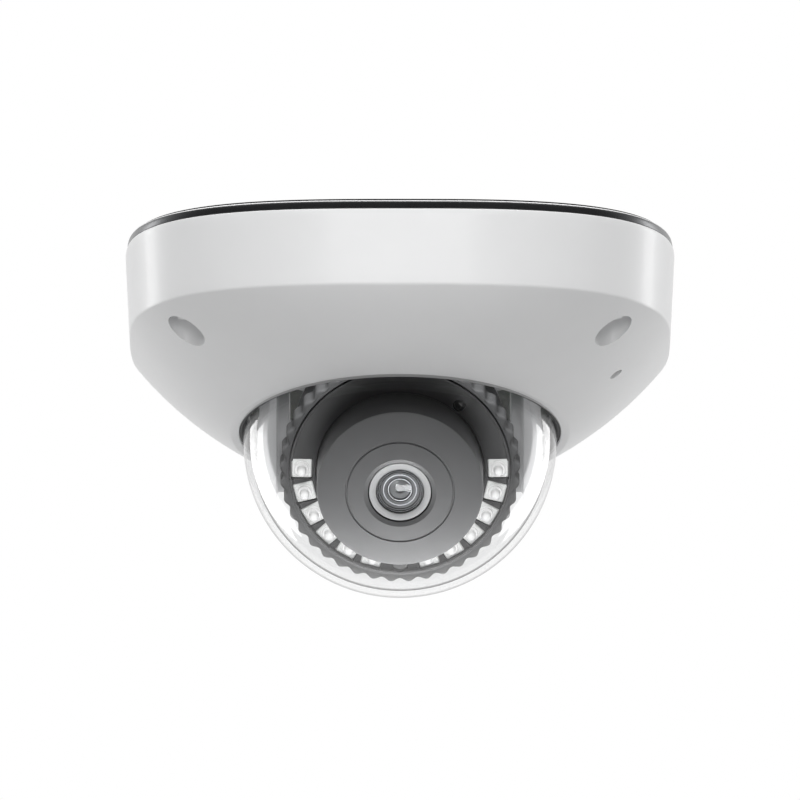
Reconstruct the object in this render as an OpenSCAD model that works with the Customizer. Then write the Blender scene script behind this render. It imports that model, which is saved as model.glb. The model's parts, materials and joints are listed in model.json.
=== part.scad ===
// Ceiling dome camera: a rounded-square cast housing with a clear bubble that leans
// forward, and inside it a lens unit on three axes: pan, tilt and roll.
// Millimetres, +Z up. The origin is the centre of the face that meets the ceiling,
// the camera hangs below it, and its front is -Y.

/* [Housing] */
// Width and depth of the housing across its flat sides
body_w = 110; // [92:1:132]
// Squareness of the plan outline: 2 is a circle, higher is squarer
corner_n = 3.05; // [2.4:0.05:4]
// Height of the upright side band
band_h = 16.7; // [14:0.1:20]
// How much the band draws in from top to bottom, each side
band_draft = 0.85; // [0:0.05:1.5]
// Slope of the edge under the band, higher at the front, in degrees
edge_tilt = 1.7; // [0:0.1:3]
// Height from the band's lower edge down to the centre of the bubble
eye_drop = 19.7; // [17:0.1:24]
// How far the sloping underside swells beyond a straight cone
swell = 0.98; // [0:0.02:1.4]
// Wall of the cast cover
wall = 2; // [1.6:0.1:2.6]

/* [Base] */
// Foam pad against the ceiling
pad_th = 0.4; // [0.3:0.1:1.5]
// Rim of the base plate that shows above the cover
rim_th = 1.6; // [1.2:0.1:3]
// Raised floor inside the rim, which locates the cover
floor_th = 2; // [1.5:0.1:3]
// Radius of a ceiling screw hole
mount_hole_r = 2.25; // [1.8:0.05:2.7]
// Distance between ceiling screw holes, side to side
mount_x = 60; // [50:1:66]
// Distance between ceiling screw holes, front to back
mount_y = 80; // [72:1:84]
// Radius of the cable's way through its rubber gland
cable_r = 3; // [2.5:0.1:3.6]
// Distance of the cover screws in from the housing's sides
screw_in_x = 12.6; // [12:0.1:15]
// Distance of the cover screws in from the front and back
screw_in_y = 21.6; // [18:0.1:23]
// Radius of the deep holes that hold the cover screws' heads
screw_well_r = 3.65; // [3.3:0.05:4]

/* [Bubble] */
// Outer radius of the clear bubble
dome_r = 31.4; // [26:0.1:38]
// Wall of the clear bubble
dome_wall = 1.4; // [1:0.1:2.5]
// Forward lean of the bubble, in degrees
dome_tilt = 9.5; // [0:0.5:12]
// Height of the housing's lip above the centre of the bubble
lip_rise = 1.7; // [1.2:0.1:3]
// Gap between the bubble and the lip, which the seal fills
lip_gap = 0.8; // [0.5:0.1:1.2]
// Width of the flat lip round the bubble
lip_w = 1.7; // [1.2:0.1:3]

/* [Lens unit] */
// How far the lens looks below the horizon, in degrees
look_down = 34; // [20:1:60]
// Room between the lens unit and the inside of the bubble
swing_gap = 0.8; // [0.5:0.1:1.5]
// Front face of the ridged grip ring, measured ahead of the tilt axis
grip_front = 15.6; // [14.8:0.1:16.5]
// Thickness of the grip ring
grip_th = 5.1; // [4.5:0.1:5.4]
// Depth of the ridges
ridge_depth = 0.75; // [0.4:0.05:1]
// Length of one ridge along the edge
ridge_pitch = 3.7; // [2.5:0.1:5]
// Width of an infrared lamp's window
lamp_w = 4.2; // [3.5:0.1:4.6]
// Space between two lamp windows
lamp_gap = 0.91; // [0.6:0.01:2]
// Radius of the lens barrel's front
lens_r = 6.25; // [5.5:0.05:6.8]
// How far the nose bulges in the middle
nose_rise = 3; // [1:0.1:4]
// How far the lens lies back from the top of the nose's bulge
lens_recess = 1.4; // [0.8:0.1:2.5]

/* [Joints and fits] */
// Radius of the two tilt pivots
pivot_r = 2; // [1.5:0.1:2.5]
// Radial play of a pivot in its bore
pivot_play = 0.05; // [0.02:0.01:0.1]
// Clearance round parts that turn
turn_gap = 0.3; // [0.2:0.05:0.5]
// Travel of the reset button
button_travel = 0.25; // [0.2:0.05:0.5]
// Travel of the infrared filter slide
filter_travel = 6.4; // [5.8:0.1:6.8]

/* [Hidden] */

$fn = 96;
sides = 96;          // straight pieces round the rounded-square outline
quarter_step = 90 / sides; // turns a bore so that its seam misses the corners of the outline
eps = 0.01;          // overlap that joins or cuts cleanly
big = 200;           // longer than the whole camera

// ---- levels, from the ceiling down ----
half_w = body_w / 2;
half_edge = half_w - band_draft;
rim_z = -(pad_th + rim_th);
seal_squash = 0.15;                       // black line left between base and cover
cover_top = rim_z - seal_squash;
floor_z = rim_z - floor_th;
edge_z = cover_top - band_h;
eye_z = edge_z - eye_drop;                // centre of the bubble and of all three axes

// ---- base plate's rim and the seal in its groove ----
rim_half = half_w - 0.35;
rim_chamfer = [0.4, 0.35];                // across and down
floor_half = half_w - wall - 0.8;         // the cover slides over the raised floor
groove = [half_w - 1.75, half_w - 0.75];
groove_depth = 0.8;
groove_play = 0.05;
pad_half = half_w - 1.2;
skin_turn = [0.62, 0.78];                 // share of the cover's wall outwards and upwards

// ---- bubble and lip ----
dome_in = dome_r - dome_wall;
lip_in = dome_r + lip_gap;
lip_out = lip_in + lip_w;
lip_th = 1.7;                             // metal of the lip under the bubble's flange
seal_th = 0.6;
flange_th = 1.6;
flange_r = lip_in + 1.9;
pocket_r = flange_r + 0.2;
flange_z = lip_rise + lip_th + seal_th;   // along the bubble's own axis
clamp_h = 2.2;
clamp_ear_r = pocket_r + 3.7;             // circle of the clamp screws
ear_seat = flange_z + flange_th + clamp_h; // what the clamp's ears are screwed down on
clamp_screw_r = 1;
clamp_screw_l = 1.8;
clamp_th = 1.2;
screw_slack = 0.15;                       // radial room round the small screws

// ---- lens unit, measured along its own axis from the tilt axis ----
env_r = dome_in - swing_gap;
grip_back = grip_front - grip_th;
grip_r = sqrt(env_r * env_r - grip_front * grip_front) - 0.65;
ridges = round(2 * PI * grip_r / ridge_pitch);
shelf_th = 1;
lamp_circle_r = grip_r - 4.4;
lamp_angle = 2 * asin((lamp_w + lamp_gap) / 2 / lamp_circle_r);
lamps_a_side = 1 + floor(80 / lamp_angle);
lamp_start = -1;                          // first lamp, just above level with the lens
lamp_angles = [for (i = [0 : lamps_a_side - 1]) -lamp_start - i * lamp_angle];
lamp_board_z = grip_back + shelf_th;
lamp_board_th = 1;
lamp_z = lamp_board_z + lamp_board_th;
cover_back = lamp_z + 0.4;
cover_front = grip_front - 0.8;
cover_rim = grip_front + 0.1;
cover_r = grip_r - 1.9;
nose_r = lamp_circle_r - lamp_w / 2 - 0.9;
nose_edge = sqrt(env_r * env_r - nose_r * nose_r) - eps;
nose_wall = 1.6;
lens_hole_r = lens_r + 0.65;
groove_r = (nose_r + lens_hole_r) / 2 - 1.05;
lens_front = nose_edge + nose_rise - lens_recess;
sensor_r = 1.28;                          // round window of the light sensor
sensor_spot = [lamp_circle_r - 1.3, 50];  // radius and angle of it
status_spot = [lamp_circle_r + 0.5, -90];
status_r = 1.75;
drum_r = lamp_circle_r;
drum_wall = 1.7;
drum_back = -6.5;
holder_in = drum_r + turn_gap;
holder_out = holder_in + 1.3;
holder_front = grip_back - turn_gap;
holder_back = -4.6;
pad_face = holder_out + 0.5;              // flat seats of the tilt pivots
pad_r = 4.5;
ring_play = 0.1;                          // between the grip ring and the lamp face
nose_play = 0.15;                         // between the lamp face and the nose
drum_screw_r = 0.9;
drum_screw_circle = drum_r - 2.9;
lamp_room = 0.08;                         // between a lamp and the sides of its window
lamp_sink = 0.15;                         // between a lamp's flat top and the lamp face
lamp_base_r = 1.4;                        // stepped lens on a lamp
lamp_dome_r = 0.95;
lamp_step = [0.5, 1.5];                   // heights of its two steps above the lamp face

// ---- lens, filter and image sensor ----
barrel_r = lens_r - 0.3;
sensor_pcb_z = -3;
sensor_pcb_th = 1.2;
sensor_pcb_w = sqrt(2) * (drum_r - drum_wall - 0.95); // its corners clear the drum's wall
chip_z = sensor_pcb_z + sensor_pcb_th;
case_top = 4.6;
case_w = 24;
case_d = 16;
slot_z = [1, 2.4];                        // space that the filter slide runs in
slide_th = 1;
slide_w = 13.8;
slide_d = 7.6;
slide_z = slot_z[0] + 0.2;
filter_r = 2.7;
filter_z = [slide_z + 0.3, slide_z + 0.8];
sensor_posts = [[-10, 10], [10, 10]];
sensor_screw_r = 0.8;
tube_r = barrel_r + 1.6;
tube_front = 13;

// ---- yoke and pan bearing ----
arm_r = env_r - 0.5;
neck_r = env_r - 1;
arm_in = grip_r + 0.6;
pivot_seat = arm_in + 0.6;
washer_play = 0.03;
arm_pad_x = pad_face + turn_gap;
arm_pad_r = grip_back - turn_gap;
arm_half = 11;
ring_h = [17, 20];                        // pan ring, above the tilt axis
ring_in = max(arm_in, sqrt(pow(env_r + 0.4, 2) - pow(ring_h[0], 2)));
ring_out = max(neck_r, ring_in) + 2.1;
axial_gap = 0.15;
bearing_out = ring_out + 3.4;
stop_h = 1.6;                             // room over the pan ring for the stops
bearing_top = eye_z + ring_h[1] + stop_h;
bearing_split = eye_z + ring_h[0] - axial_gap;
retainer_th = 1.2;
retainer_in = neck_r + turn_gap;
stop_w = 1;
ear_r = 3.6;
ear_circle = bearing_out + 3.4;
ear_th = 3;
ear_screw_r = 1.1;
post_r = 3;
retain_circle = bearing_out - 1.5;
retain_screw_r = 0.6;

// ---- cover screws, microphone and cable gland ----
screw_pillar_r = 4.2;
screw_room = 0.1;                         // least gap between a screw pillar and the cover's wall
screw_aim = [half_w - screw_in_x, half_w - screw_in_y];
screw_turn = atan2(screw_aim[1], screw_aim[0]);
screw_reach = min(norm(screw_aim), plan_r(screw_turn, half_edge - wall - screw_room) - screw_pillar_r);
screw_spots = [for (sx = [-1, 1], sy = [-1, 1])
    screw_reach * [sx * cos(screw_turn), sy * sin(screw_turn)]];
boss_z = floor_z - 7;                     // foot of the base's screw pillars
seat_th = 2.6;
shank_r = 1.5;
o_ring_th = 0.6;
head_r = screw_well_r - 0.55;
head_h = 2.6;
mic_spot = [half_w - 11.9, -15.3];
mic_hole_r = 1.2;
mic_r = 2;
boot_r = 3;
mic_floor = edge_z - 5.2;
mic_seat = mic_floor + 0.8;
gland_y = half_w - 13;
gland_r = 7;

// ---- circuit board ----
standoff = 3;
board_th = 1.6;
board_top = floor_z - standoff;
board_low = board_top - board_th;
board_r = ear_circle - post_r - 1;
board_fix_r = board_r - 3.6;
board_screw_r = 0.9;
board_post_r = 2.4;
chip_th = 1.3;

// ---------------------------------------------------------------- outlines
function plan_r(a, half) =
    half / pow(pow(abs(cos(a)), corner_n) + pow(abs(sin(a)), corner_n), 1 / corner_n);
function plan(half) =
    [for (i = [0 : sides - 1]) let (a = 360 * i / sides) plan_r(a, half) * [cos(a), sin(a)]];
function level_ring(half, z) = [for (p = plan(half)) [p[0], p[1], z]];
function edge_point(a, half, lift) =
    let (r = plan_r(a, half), y = r * sin(a)) [r * cos(a), y, edge_z + lift - tan(edge_tilt) * y];
function lip_point(a) =
    [lip_out * cos(a),
     lip_out * sin(a) * cos(dome_tilt) + lip_rise * sin(dome_tilt),
     eye_z - lip_out * sin(a) * sin(dome_tilt) + lip_rise * cos(dome_tilt)];
// A ring of the underside: t is 0 at the band's edge and 1 at the lip, skin moves it inwards.
function under_ring(t, skin) =
    [for (i = [0 : sides - 1])
        let (a = 360 * i / sides,
             b = swell * 4 * t * (1 - t) - skin_turn[0] * skin,
             p = (1 - t) * edge_point(a, half_edge, 0) + t * lip_point(a))
        p + [b * cos(a), b * sin(a), -swell * 4 * t * (1 - t) + skin_turn[1] * skin]];

// A closed solid through rings of points, from the top ring down.
module loft(rings) {
    n = len(rings[0]);
    m = len(rings);
    mid_top = [0, 0, rings[0][0][2]];
    mid_low = (rings[m - 1][0] + rings[m - 1][n / 2]) / 2;
    points = concat([for (r = rings) each r], [mid_top, mid_low]);
    walls = [for (k = [0 : m - 2], i = [0 : n - 1])
        let (j = (i + 1) % n, a = k * n + i, b = k * n + j, c = a + n, d = b + n)
        each [[a, b, d], [a, d, c]]];
    top = [for (i = [0 : n - 1]) [m * n, (i + 1) % n, i]];
    low = [for (i = [0 : n - 1]) [m * n + 1, (m - 1) * n + i, (m - 1) * n + (i + 1) % n]];
    polyhedron(points, concat(walls, top, low), convexity = 6);
}

module slab(half, z_top, z_low) {
    translate([0, 0, z_low]) linear_extrude(z_top - z_low) polygon(plan(half));
}

// ---------------------------------------------------------------- small shapes
module ring(r_in, r_out, z0, z1) {
    translate([0, 0, z0]) difference() {
        cylinder(r = r_out, h = z1 - z0);
        translate([0, 0, -1]) cylinder(r = r_in, h = z1 - z0 + 2);
    }
}
module rod(r, z0, z1) { translate([0, 0, z0]) cylinder(r = r, h = z1 - z0); }
module block(w, d, z0, z1) {
    translate([-w / 2, -d / 2, z0]) cube([w, d, z1 - z0]);
}
module at_spots(spots) { for (s = spots) translate([s[0], s[1], 0]) children(); }
module round_four(r, start = 45) {
    for (i = [0 : 3]) rotate(start + 90 * i) translate([r, 0, 0]) children();
}
// A screw along Z: its head's seat at z = 0, its head below and its shank above.
module screw(shank, length, head, height) {
    difference() {
        union() {
            rod(shank, 0, length);
            rod(head, -height, 0);
        }
        translate([0, 0, -height - eps]) cylinder(r = head * 0.52, h = height * 0.6, $fn = 6);
    }
}
// Frames of the bubble and of the lens unit. In the second +Z looks out through the lens.
module at_bubble() { translate([0, 0, eye_z]) rotate([-dome_tilt, 0, 0]) children(); }
module at_lens() { translate([0, 0, eye_z]) rotate([90 + look_down, 0, 0]) children(); }
// Both ends of the tilt axis. In this frame +Z runs outwards along it.
module both_pivots() {
    for (s = [-1, 1]) translate([0, 0, eye_z]) rotate([0, s * 90, 0]) children();
}

// ---------------------------------------------------------------- base
module ceiling_holes(r) {
    at_spots([for (sx = [-1, 1], sy = [-1, 1]) [sx * mount_x / 2, sy * mount_y / 2]])
        rod(r, -big / 2, 1);
}
module ceiling_pad() {
    color("dimgray") difference() {
        slab(pad_half, 0, -pad_th);
        ceiling_holes(mount_hole_r + 1);
        translate([0, gland_y, 0]) rod(gland_r + 1.2, -big / 2, 1);
    }
}
module base_plate() {
    color("gray") difference() {
        union() {
            difference() {
                loft([level_ring(rim_half - rim_chamfer[0], -pad_th),
                      level_ring(rim_half, -pad_th - rim_chamfer[1]), level_ring(rim_half, rim_z)]);
                difference() {
                    slab(groove[1], rim_z + groove_depth, rim_z - 1);
                    slab(groove[0], rim_z + 1, rim_z - 2);
                }
            }
            slab(floor_half, rim_z + 0.2, floor_z);
            at_spots(screw_spots) rod(screw_pillar_r, boss_z, floor_z + eps);
            round_four(ear_circle) rod(post_r, bearing_top, floor_z + eps);
            round_four(board_fix_r, 0) rod(board_post_r, board_top, floor_z + eps);
        }
        ceiling_holes(mount_hole_r);
        translate([0, gland_y, 0]) rod(gland_r, -big / 2, 1);
        at_spots(screw_spots) rod(shank_r, boss_z - 1, floor_z + 1);
        round_four(ear_circle) rod(ear_screw_r, bearing_top - 1, bearing_top + 6);
        round_four(board_fix_r, 0) rod(board_screw_r, board_top - 1, floor_z + 1);
    }
}
module base_seal() {
    color("black") difference() {
        slab(groove[1] - groove_play, rim_z + groove_depth - groove_play, cover_top);
        slab(groove[0] + groove_play, rim_z + 1, cover_top - 1);
    }
}
module cable_gland() {
    color("black") translate([0, gland_y, 0]) difference() {
        union() {
            rod(gland_r, floor_z - eps, -pad_th);
            rod(gland_r + 1.4, floor_z - 1.4, floor_z);
            rod(gland_r - 2, floor_z - 4, floor_z);
        }
        rod(cable_r, floor_z - 5, 1);
    }
}

// ---------------------------------------------------------------- cover
module cover_outside() {
    loft(concat([level_ring(half_w - 1, cover_top + 0.75), level_ring(half_w, cover_top - 0.25)],
                [for (i = [0 : 8]) under_ring(i / 8, 0)]));
}
module cover_inside() {
    inner_edge = [for (i = [0 : sides - 1]) edge_point(360 * i / sides, half_edge - wall, 0.8 * wall)];
    loft(concat([level_ring(half_w - wall, cover_top + 1), inner_edge],
                [for (i = [1 : 7]) under_ring(i / 8, wall)]));
}
module cover_shell() {
    color("white") difference() {
        intersection() {
            cover_outside();
            union() {
                difference() {
                    slab(half_w + 1, cover_top, -big / 2);
                    cover_inside();
                }
                at_spots(screw_spots) rod(screw_well_r + 1.7, -big / 2, boss_z);
                at_spots([mic_spot]) rod(boot_r + 1.4, -big / 2, mic_floor + 4);
                at_bubble() round_four(clamp_ear_r) rod(2.4, 0, ear_seat);
            }
        }
        at_bubble() rotate(quarter_step) rod(lip_in, -dome_r, lip_rise + lip_th + 1);
        at_bubble() rotate(quarter_step) rod(pocket_r, lip_rise + lip_th, ear_seat + 3);
        at_bubble() round_four(clamp_ear_r) block(6, 5.4, ear_seat, ear_seat + 3);
        at_spots(screw_spots) {
            rod(screw_well_r, -big / 2, boss_z - seat_th);
            rod(shank_r + 0.3, -big / 2, boss_z + 1);
        }
        at_spots([mic_spot]) {
            rod(boot_r, mic_floor, mic_floor + 5);
            rod(mic_hole_r, -big / 2, mic_floor + 1);
        }
        at_bubble() round_four(clamp_ear_r)
            rod(clamp_screw_r, ear_seat - clamp_screw_l, big / 2);
    }
}
module cover_screws() {
    color("silver") at_spots(screw_spots) translate([0, 0, boss_z - seat_th - o_ring_th])
        screw(shank_r, seat_th + o_ring_th + 6, head_r, head_h);
}
module screw_o_rings() {
    color("black") at_spots(screw_spots)
        ring(shank_r, head_r - 0.2, boss_z - seat_th - o_ring_th, boss_z - seat_th);
}

// ---------------------------------------------------------------- bubble
module dome_bubble() {
    color([0.85, 0.9, 0.95, 0.4]) at_bubble() rotate_extrude() {
        intersection() {
            difference() {
                circle(r = dome_r);
                circle(r = dome_in);
            }
            translate([0, -big]) square(big);
        }
        translate([dome_in, 0]) square([dome_wall, flange_z]);
        translate([dome_in, flange_z]) square([flange_r - dome_in, flange_th]);
    }
}
module dome_seal() {
    color("black") at_bubble() {
        ring(dome_r, flange_r, lip_rise + lip_th, flange_z);
        ring(dome_r, lip_in, lip_rise + 0.3, lip_rise + lip_th + eps);
    }
}
module dome_clamp() {
    low = flange_z + flange_th;
    top = ear_seat;
    color("dimgray") at_bubble() difference() {
        union() {
            ring(dome_in + 1.1, flange_r, low, top + clamp_th);
            intersection() {
                ring(flange_r - 1, clamp_ear_r + 2.4, top, top + clamp_th);
                round_four(clamp_ear_r) block(8, 4.8, top - 1, top + 3);
            }
        }
        round_four(clamp_ear_r) rod(clamp_screw_r + screw_slack, top - 1, top + 3);
    }
}
module clamp_screws() {
    seat = ear_seat + clamp_th;
    color("silver") at_bubble() round_four(clamp_ear_r)
        translate([0, 0, seat]) rotate([180, 0, 0]) screw(clamp_screw_r, clamp_screw_l + 1, 1.9, 1.2);
}

// ---------------------------------------------------------------- microphone
module mic_boot() {
    color("black") at_spots([mic_spot]) difference() {
        rod(boot_r, mic_floor, mic_floor + 4.2);
        rod(mic_r, mic_seat, mic_floor + 5);
        rod(mic_hole_r, mic_floor - 1, mic_floor + 1);
    }
}
module microphone() {
    color("silver") at_spots([mic_spot]) rod(mic_r, mic_seat, mic_floor + 4.6);
}

// ---------------------------------------------------------------- circuit board
module main_board() {
    color("darkgreen") difference() {
        rod(board_r, board_low, board_top);
        round_four(board_fix_r, 0) rod(board_screw_r + 0.2, board_low - 1, board_top + 1);
    }
}
module board_screws() {
    color("silver") round_four(board_fix_r, 0)
        translate([0, 0, board_low]) screw(board_screw_r, board_th + standoff, 1.8, 1.2);
}
module processor() { color("black") block(14, 14, board_top, board_top + chip_th); }
module heat_pad() { color("pink") block(12, 12, board_top + chip_th, floor_z); }
module on_board(x, y) { translate([x, y, 0]) children(); }
module card_slot() {
    color("silver") on_board(11.5 - board_fix_r, -6) difference() {
        block(14, 15, board_low - 1.8, board_low);
        translate([-1, 0, 0]) block(12.4, 11.4, board_low - 1.5, board_low - 0.5);
    }
}
module cable_header() {
    pins = 10;
    pitch = 1.8;
    color("ivory") on_board(0, board_r - 9) difference() {
        block(pins * pitch + 3, 6, board_low - 5, board_low);
        for (i = [0 : pins - 1]) translate([(i - (pins - 1) / 2) * pitch, 0, 0])
            block(1.1, 3.6, board_low - 6, board_low - 1);
    }
}
module flex_socket(z_face, w) {
    difference() {
        block(w, 4.6, z_face - 2, z_face);
        translate([0, -1.5, 0]) block(w - 3, 3, z_face - 1.3, z_face - 0.7);
    }
}
module main_flex_socket() { color("ivory") on_board(4, board_r - 24.1) flex_socket(board_low, 15); }
module capacitors() {
    color("silver") for (i = [0 : 2])
        on_board(-14 + 7.4 * i, board_r - 17.1) rod(3, board_low - 4.6, board_low);
}
button_spot = [17, -12];
button_r = 1.7;
button_proud = 1.2;
switch_th = 3.2;
module reset_switch() {
    color("silver") on_board(button_spot[0], button_spot[1]) difference() {
        block(6, 6, board_low - switch_th, board_low);
        rod(button_r + turn_gap / 2, board_low - switch_th - 1, board_low - 1.2);
    }
}
module reset_button() {
    color("black") on_board(button_spot[0], button_spot[1])
        rod(button_r, board_low - switch_th - button_proud, board_low - 1.2 - button_travel - 0.1);
}

// ---------------------------------------------------------------- pan bearing
module pan_base() {
    color("dimgray") difference() {
        union() {
            ring(ring_out + turn_gap, bearing_out, bearing_split, bearing_top);
            ring(ring_in + 1.9, bearing_out, eye_z + ring_h[1] + axial_gap, bearing_top);
            round_four(ear_circle) {
                rod(ear_r, bearing_top - ear_th, bearing_top);
                translate([-3, 0, 0]) block(6, 2 * ear_r, bearing_top - ear_th, bearing_top);
            }
            translate([-stop_w / 2, ring_in + 0.4, eye_z + ring_h[1] + axial_gap])
                cube([stop_w, 2.5, stop_h - axial_gap]);
        }
        round_four(ear_circle)
            rod(ear_screw_r + screw_slack, bearing_top - ear_th - 1, bearing_top + 1);
        rod(ring_out + turn_gap, bearing_split - 1, eye_z + ring_h[1] + axial_gap);
        round_four(retain_circle) rod(retain_screw_r, bearing_split - 1, bearing_split + 2.4);
    }
}
module pan_base_screws() {
    color("silver") round_four(ear_circle)
        translate([0, 0, bearing_top - ear_th]) screw(ear_screw_r, ear_th + 5, 2.2, 1.5);
}
module pan_retainer() {
    color("dimgray") difference() {
        ring(retainer_in, bearing_out, bearing_split - retainer_th, bearing_split);
        round_four(retain_circle)
            rod(retain_screw_r + screw_slack, bearing_split - 3, bearing_split + 1);
    }
}
module retainer_screws() {
    color("silver") round_four(retain_circle)
        translate([0, 0, bearing_split - retainer_th]) screw(retain_screw_r, retainer_th + 2.2, 1.2, 0.8);
}

// ---------------------------------------------------------------- yoke, turns about Z
module yoke() {
    arm_bounds = [arm_r + 1 - arm_in, 2 * arm_half, arm_r + ring_h[0] + 1];
    color("darkgray") difference() {
        union() {
            ring(ring_in, ring_out, eye_z + ring_h[0], eye_z + ring_h[1]);
            translate([-stop_w / 2, -ring_in - 1.5, eye_z + ring_h[1] - eps]) cube([stop_w, 1.4, 1.4]);
            intersection() {
                union() {
                    translate([0, 0, eye_z]) sphere(r = arm_r);
                    rod(neck_r, eye_z, eye_z + ring_h[0] + 1);
                }
                for (s = [-1, 1]) translate([s * (arm_in + arm_bounds[0] / 2), 0, eye_z])
                    block(arm_bounds[0], arm_bounds[1], -arm_r, ring_h[0] + 1);
            }
            both_pivots() rod(arm_pad_r, arm_pad_x, arm_in + eps);
        }
        both_pivots() {
            rod(pivot_r, 0, arm_r);
            rod(pivot_r + 1.6, pivot_seat, arm_r + 1);
        }
    }
}
module tilt_pivots() {
    color("silver") both_pivots() difference() {
        union() {
            rod(pivot_r, holder_in + 0.25, pivot_seat + eps);
            rod(pivot_r + 1.4, pivot_seat, pivot_seat + 1.4);
        }
        translate([0, 0, pivot_seat + 0.6]) cylinder(r = 1.2, h = 2, $fn = 6);
    }
}
module tilt_washers() {
    color("silver") both_pivots()
        ring(pivot_r + 0.1, pivot_r + 2.2, pad_face + washer_play, arm_pad_x - washer_play);
}

// ---------------------------------------------------------------- holder, tilts about X
module tilt_holder() {
    color("dimgray") difference() {
        union() {
            at_lens() rod(holder_out, holder_back, holder_front);
            both_pivots() rod(pad_r, holder_in - 2, pad_face);
        }
        at_lens() rod(holder_in, holder_back - 9, holder_front + 9);
        both_pivots() rod(pivot_r + pivot_play, holder_in - 2, pad_face + 1);
    }
}

// ---------------------------------------------------------------- lens unit, rolls about its axis
module module_drum() {
    color("dimgray") at_lens() difference() {
        rod(drum_r, drum_back, grip_back);
        rod(drum_r - drum_wall, drum_back + 1.4, grip_back + 1);
        translate([0, -9, 0]) block(12, 5, drum_back - 1, drum_back + 2);
        at_spots(sensor_posts) rod(sensor_screw_r + 0.3, drum_back - 1, drum_back + 2);
    }
    color("dimgray") at_lens() at_spots(sensor_posts)
        ring(sensor_screw_r, 2, drum_back + 1.4 - eps, sensor_pcb_z);
}
module drum_clip() {
    color("black") at_lens() difference() {
        ring(drum_r + 0.05, drum_r + 1.5, holder_back - turn_gap - 1, holder_back - turn_gap);
        translate([0, drum_r, 0]) block(5, 6, holder_back - 3, holder_back + 1);
    }
}
module drum_screw_spots() {
    for (i = [0 : 2]) rotate(30 + 120 * i) translate([drum_screw_circle, 0, 0]) children();
}
module drum_screws() {
    color("silver") at_lens() drum_screw_spots() rod(drum_screw_r, grip_back - 4, lamp_board_z);
}
module ridge_outline() {
    steps = 6 * ridges;
    polygon([for (i = [0 : steps - 1])
        let (a = 360 * i / steps, r = grip_r - ridge_depth / 2 * (1 + cos(ridges * (a + 90))))
        r * [cos(a), sin(a)]]);
}
module grip_ring() {
    color("gray") at_lens() difference() {
        translate([0, 0, grip_back]) linear_extrude(grip_th) ridge_outline();
        rod(cover_r + ring_play, lamp_board_z, grip_front + 1);
        rod(drum_r - drum_wall - 2.6, grip_back - 1, lamp_board_z + 1);
        drum_screw_spots() rod(drum_screw_r, grip_back - 1, lamp_board_z + 1);
    }
}
module lamp_spots() {
    for (s = [0, 1], a = lamp_angles) mirror([s, 0, 0]) rotate(a) translate([lamp_circle_r, 0, 0])
        children();
}
module polar_spot(spot) { rotate(spot[1]) translate([spot[0], 0, 0]) children(); }
module lamp_board() {
    color("white") at_lens() ring(max(nose_r - 4, tube_r + 0.5), cover_r - 0.4, lamp_board_z, lamp_z);
}
module lamps() {
    side = lamp_w - 2 * lamp_room;
    color("white") at_lens() lamp_spots() {
        block(side, side, lamp_z, cover_front - lamp_sink);
        rod(lamp_base_r, cover_front - lamp_sink - eps, cover_front + lamp_step[0]);
        rod(lamp_dome_r, cover_front + lamp_step[0] - eps, cover_front + lamp_step[1]);
        translate([0, 0, cover_front + lamp_step[1]]) sphere(r = lamp_dome_r, $fn = 32);
    }
}
module lamp_cover() {
    color([0.25, 0.25, 0.27]) at_lens() difference() {
        union() {
            ring(nose_r + nose_play, cover_r, cover_back, cover_front);
            ring(cover_r - 0.6, cover_r, cover_front - eps, cover_rim);
        }
        lamp_spots() block(lamp_w, lamp_w, cover_back - 1, cover_rim + 1);
        polar_spot(sensor_spot) rod(sensor_r, cover_back - 1, cover_rim + 1);
        polar_spot(status_spot) rod(status_r, cover_back - 1, cover_rim + 1);
    }
}
module light_sensor() {
    color("black") at_lens() polar_spot(sensor_spot) {
        rod(sensor_r, cover_front - 1.1, cover_front - 0.6);
        rod(sensor_r - 0.35, lamp_z, cover_front - 1.1 + eps);
    }
}
module status_window() {
    color("gray") at_lens() polar_spot(status_spot) rod(status_r, lamp_z, cover_front + 0.1);
}
module nose_cap() {
    face_r = (pow(nose_r, 2) + pow(nose_rise, 2)) / (2 * nose_rise);
    face_z = nose_edge + nose_rise - face_r;
    color("gray") at_lens() difference() {
        intersection() {
            rod(nose_r, lamp_z, nose_edge + nose_rise + 1);
            translate([0, 0, face_z]) sphere(r = face_r);
        }
        intersection() {
            rod(nose_r - nose_wall, lamp_z - 1, nose_edge + nose_rise);
            translate([0, 0, face_z]) sphere(r = face_r - nose_wall);
        }
        rod(lens_hole_r, lamp_z - 1, nose_edge + nose_rise + 1);
        rotate_extrude() translate([groove_r, face_z + sqrt(pow(face_r, 2) - pow(groove_r, 2))])
            circle(r = 0.25, $fn = 16);
    }
}
module lens_barrel() {
    color("black") at_lens() difference() {
        union() {
            rod(barrel_r, case_top + 0.6, lens_front - 3);
            rod(lens_r, lens_front - 3, lens_front - 0.4);
        }
        rod(lens_r - 1.95, lens_front - 2.4, lens_front + 1);
        rod(3, case_top - 1, lens_front - 2.4 + eps);
    }
}
module lens_trim() {
    color("silver") at_lens() difference() {
        rod(lens_r, lens_front - 0.4, lens_front + 0.2);
        translate([0, 0, lens_front - 0.5]) cylinder(r1 = lens_r - 1.75, r2 = lens_r - 1.15, h = 0.8);
    }
}
module front_glass() {
    glass_r = lens_r - 1.95;
    crown = 1.1;
    ball = (pow(glass_r, 2) + pow(crown, 2)) / (2 * crown);
    color([0.3, 0.3, 0.4]) at_lens() intersection() {
        rod(glass_r, lens_front - 2.4, lens_front + 1);
        translate([0, 0, lens_front - 1.5 + crown - ball]) sphere(r = ball);
    }
}

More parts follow.
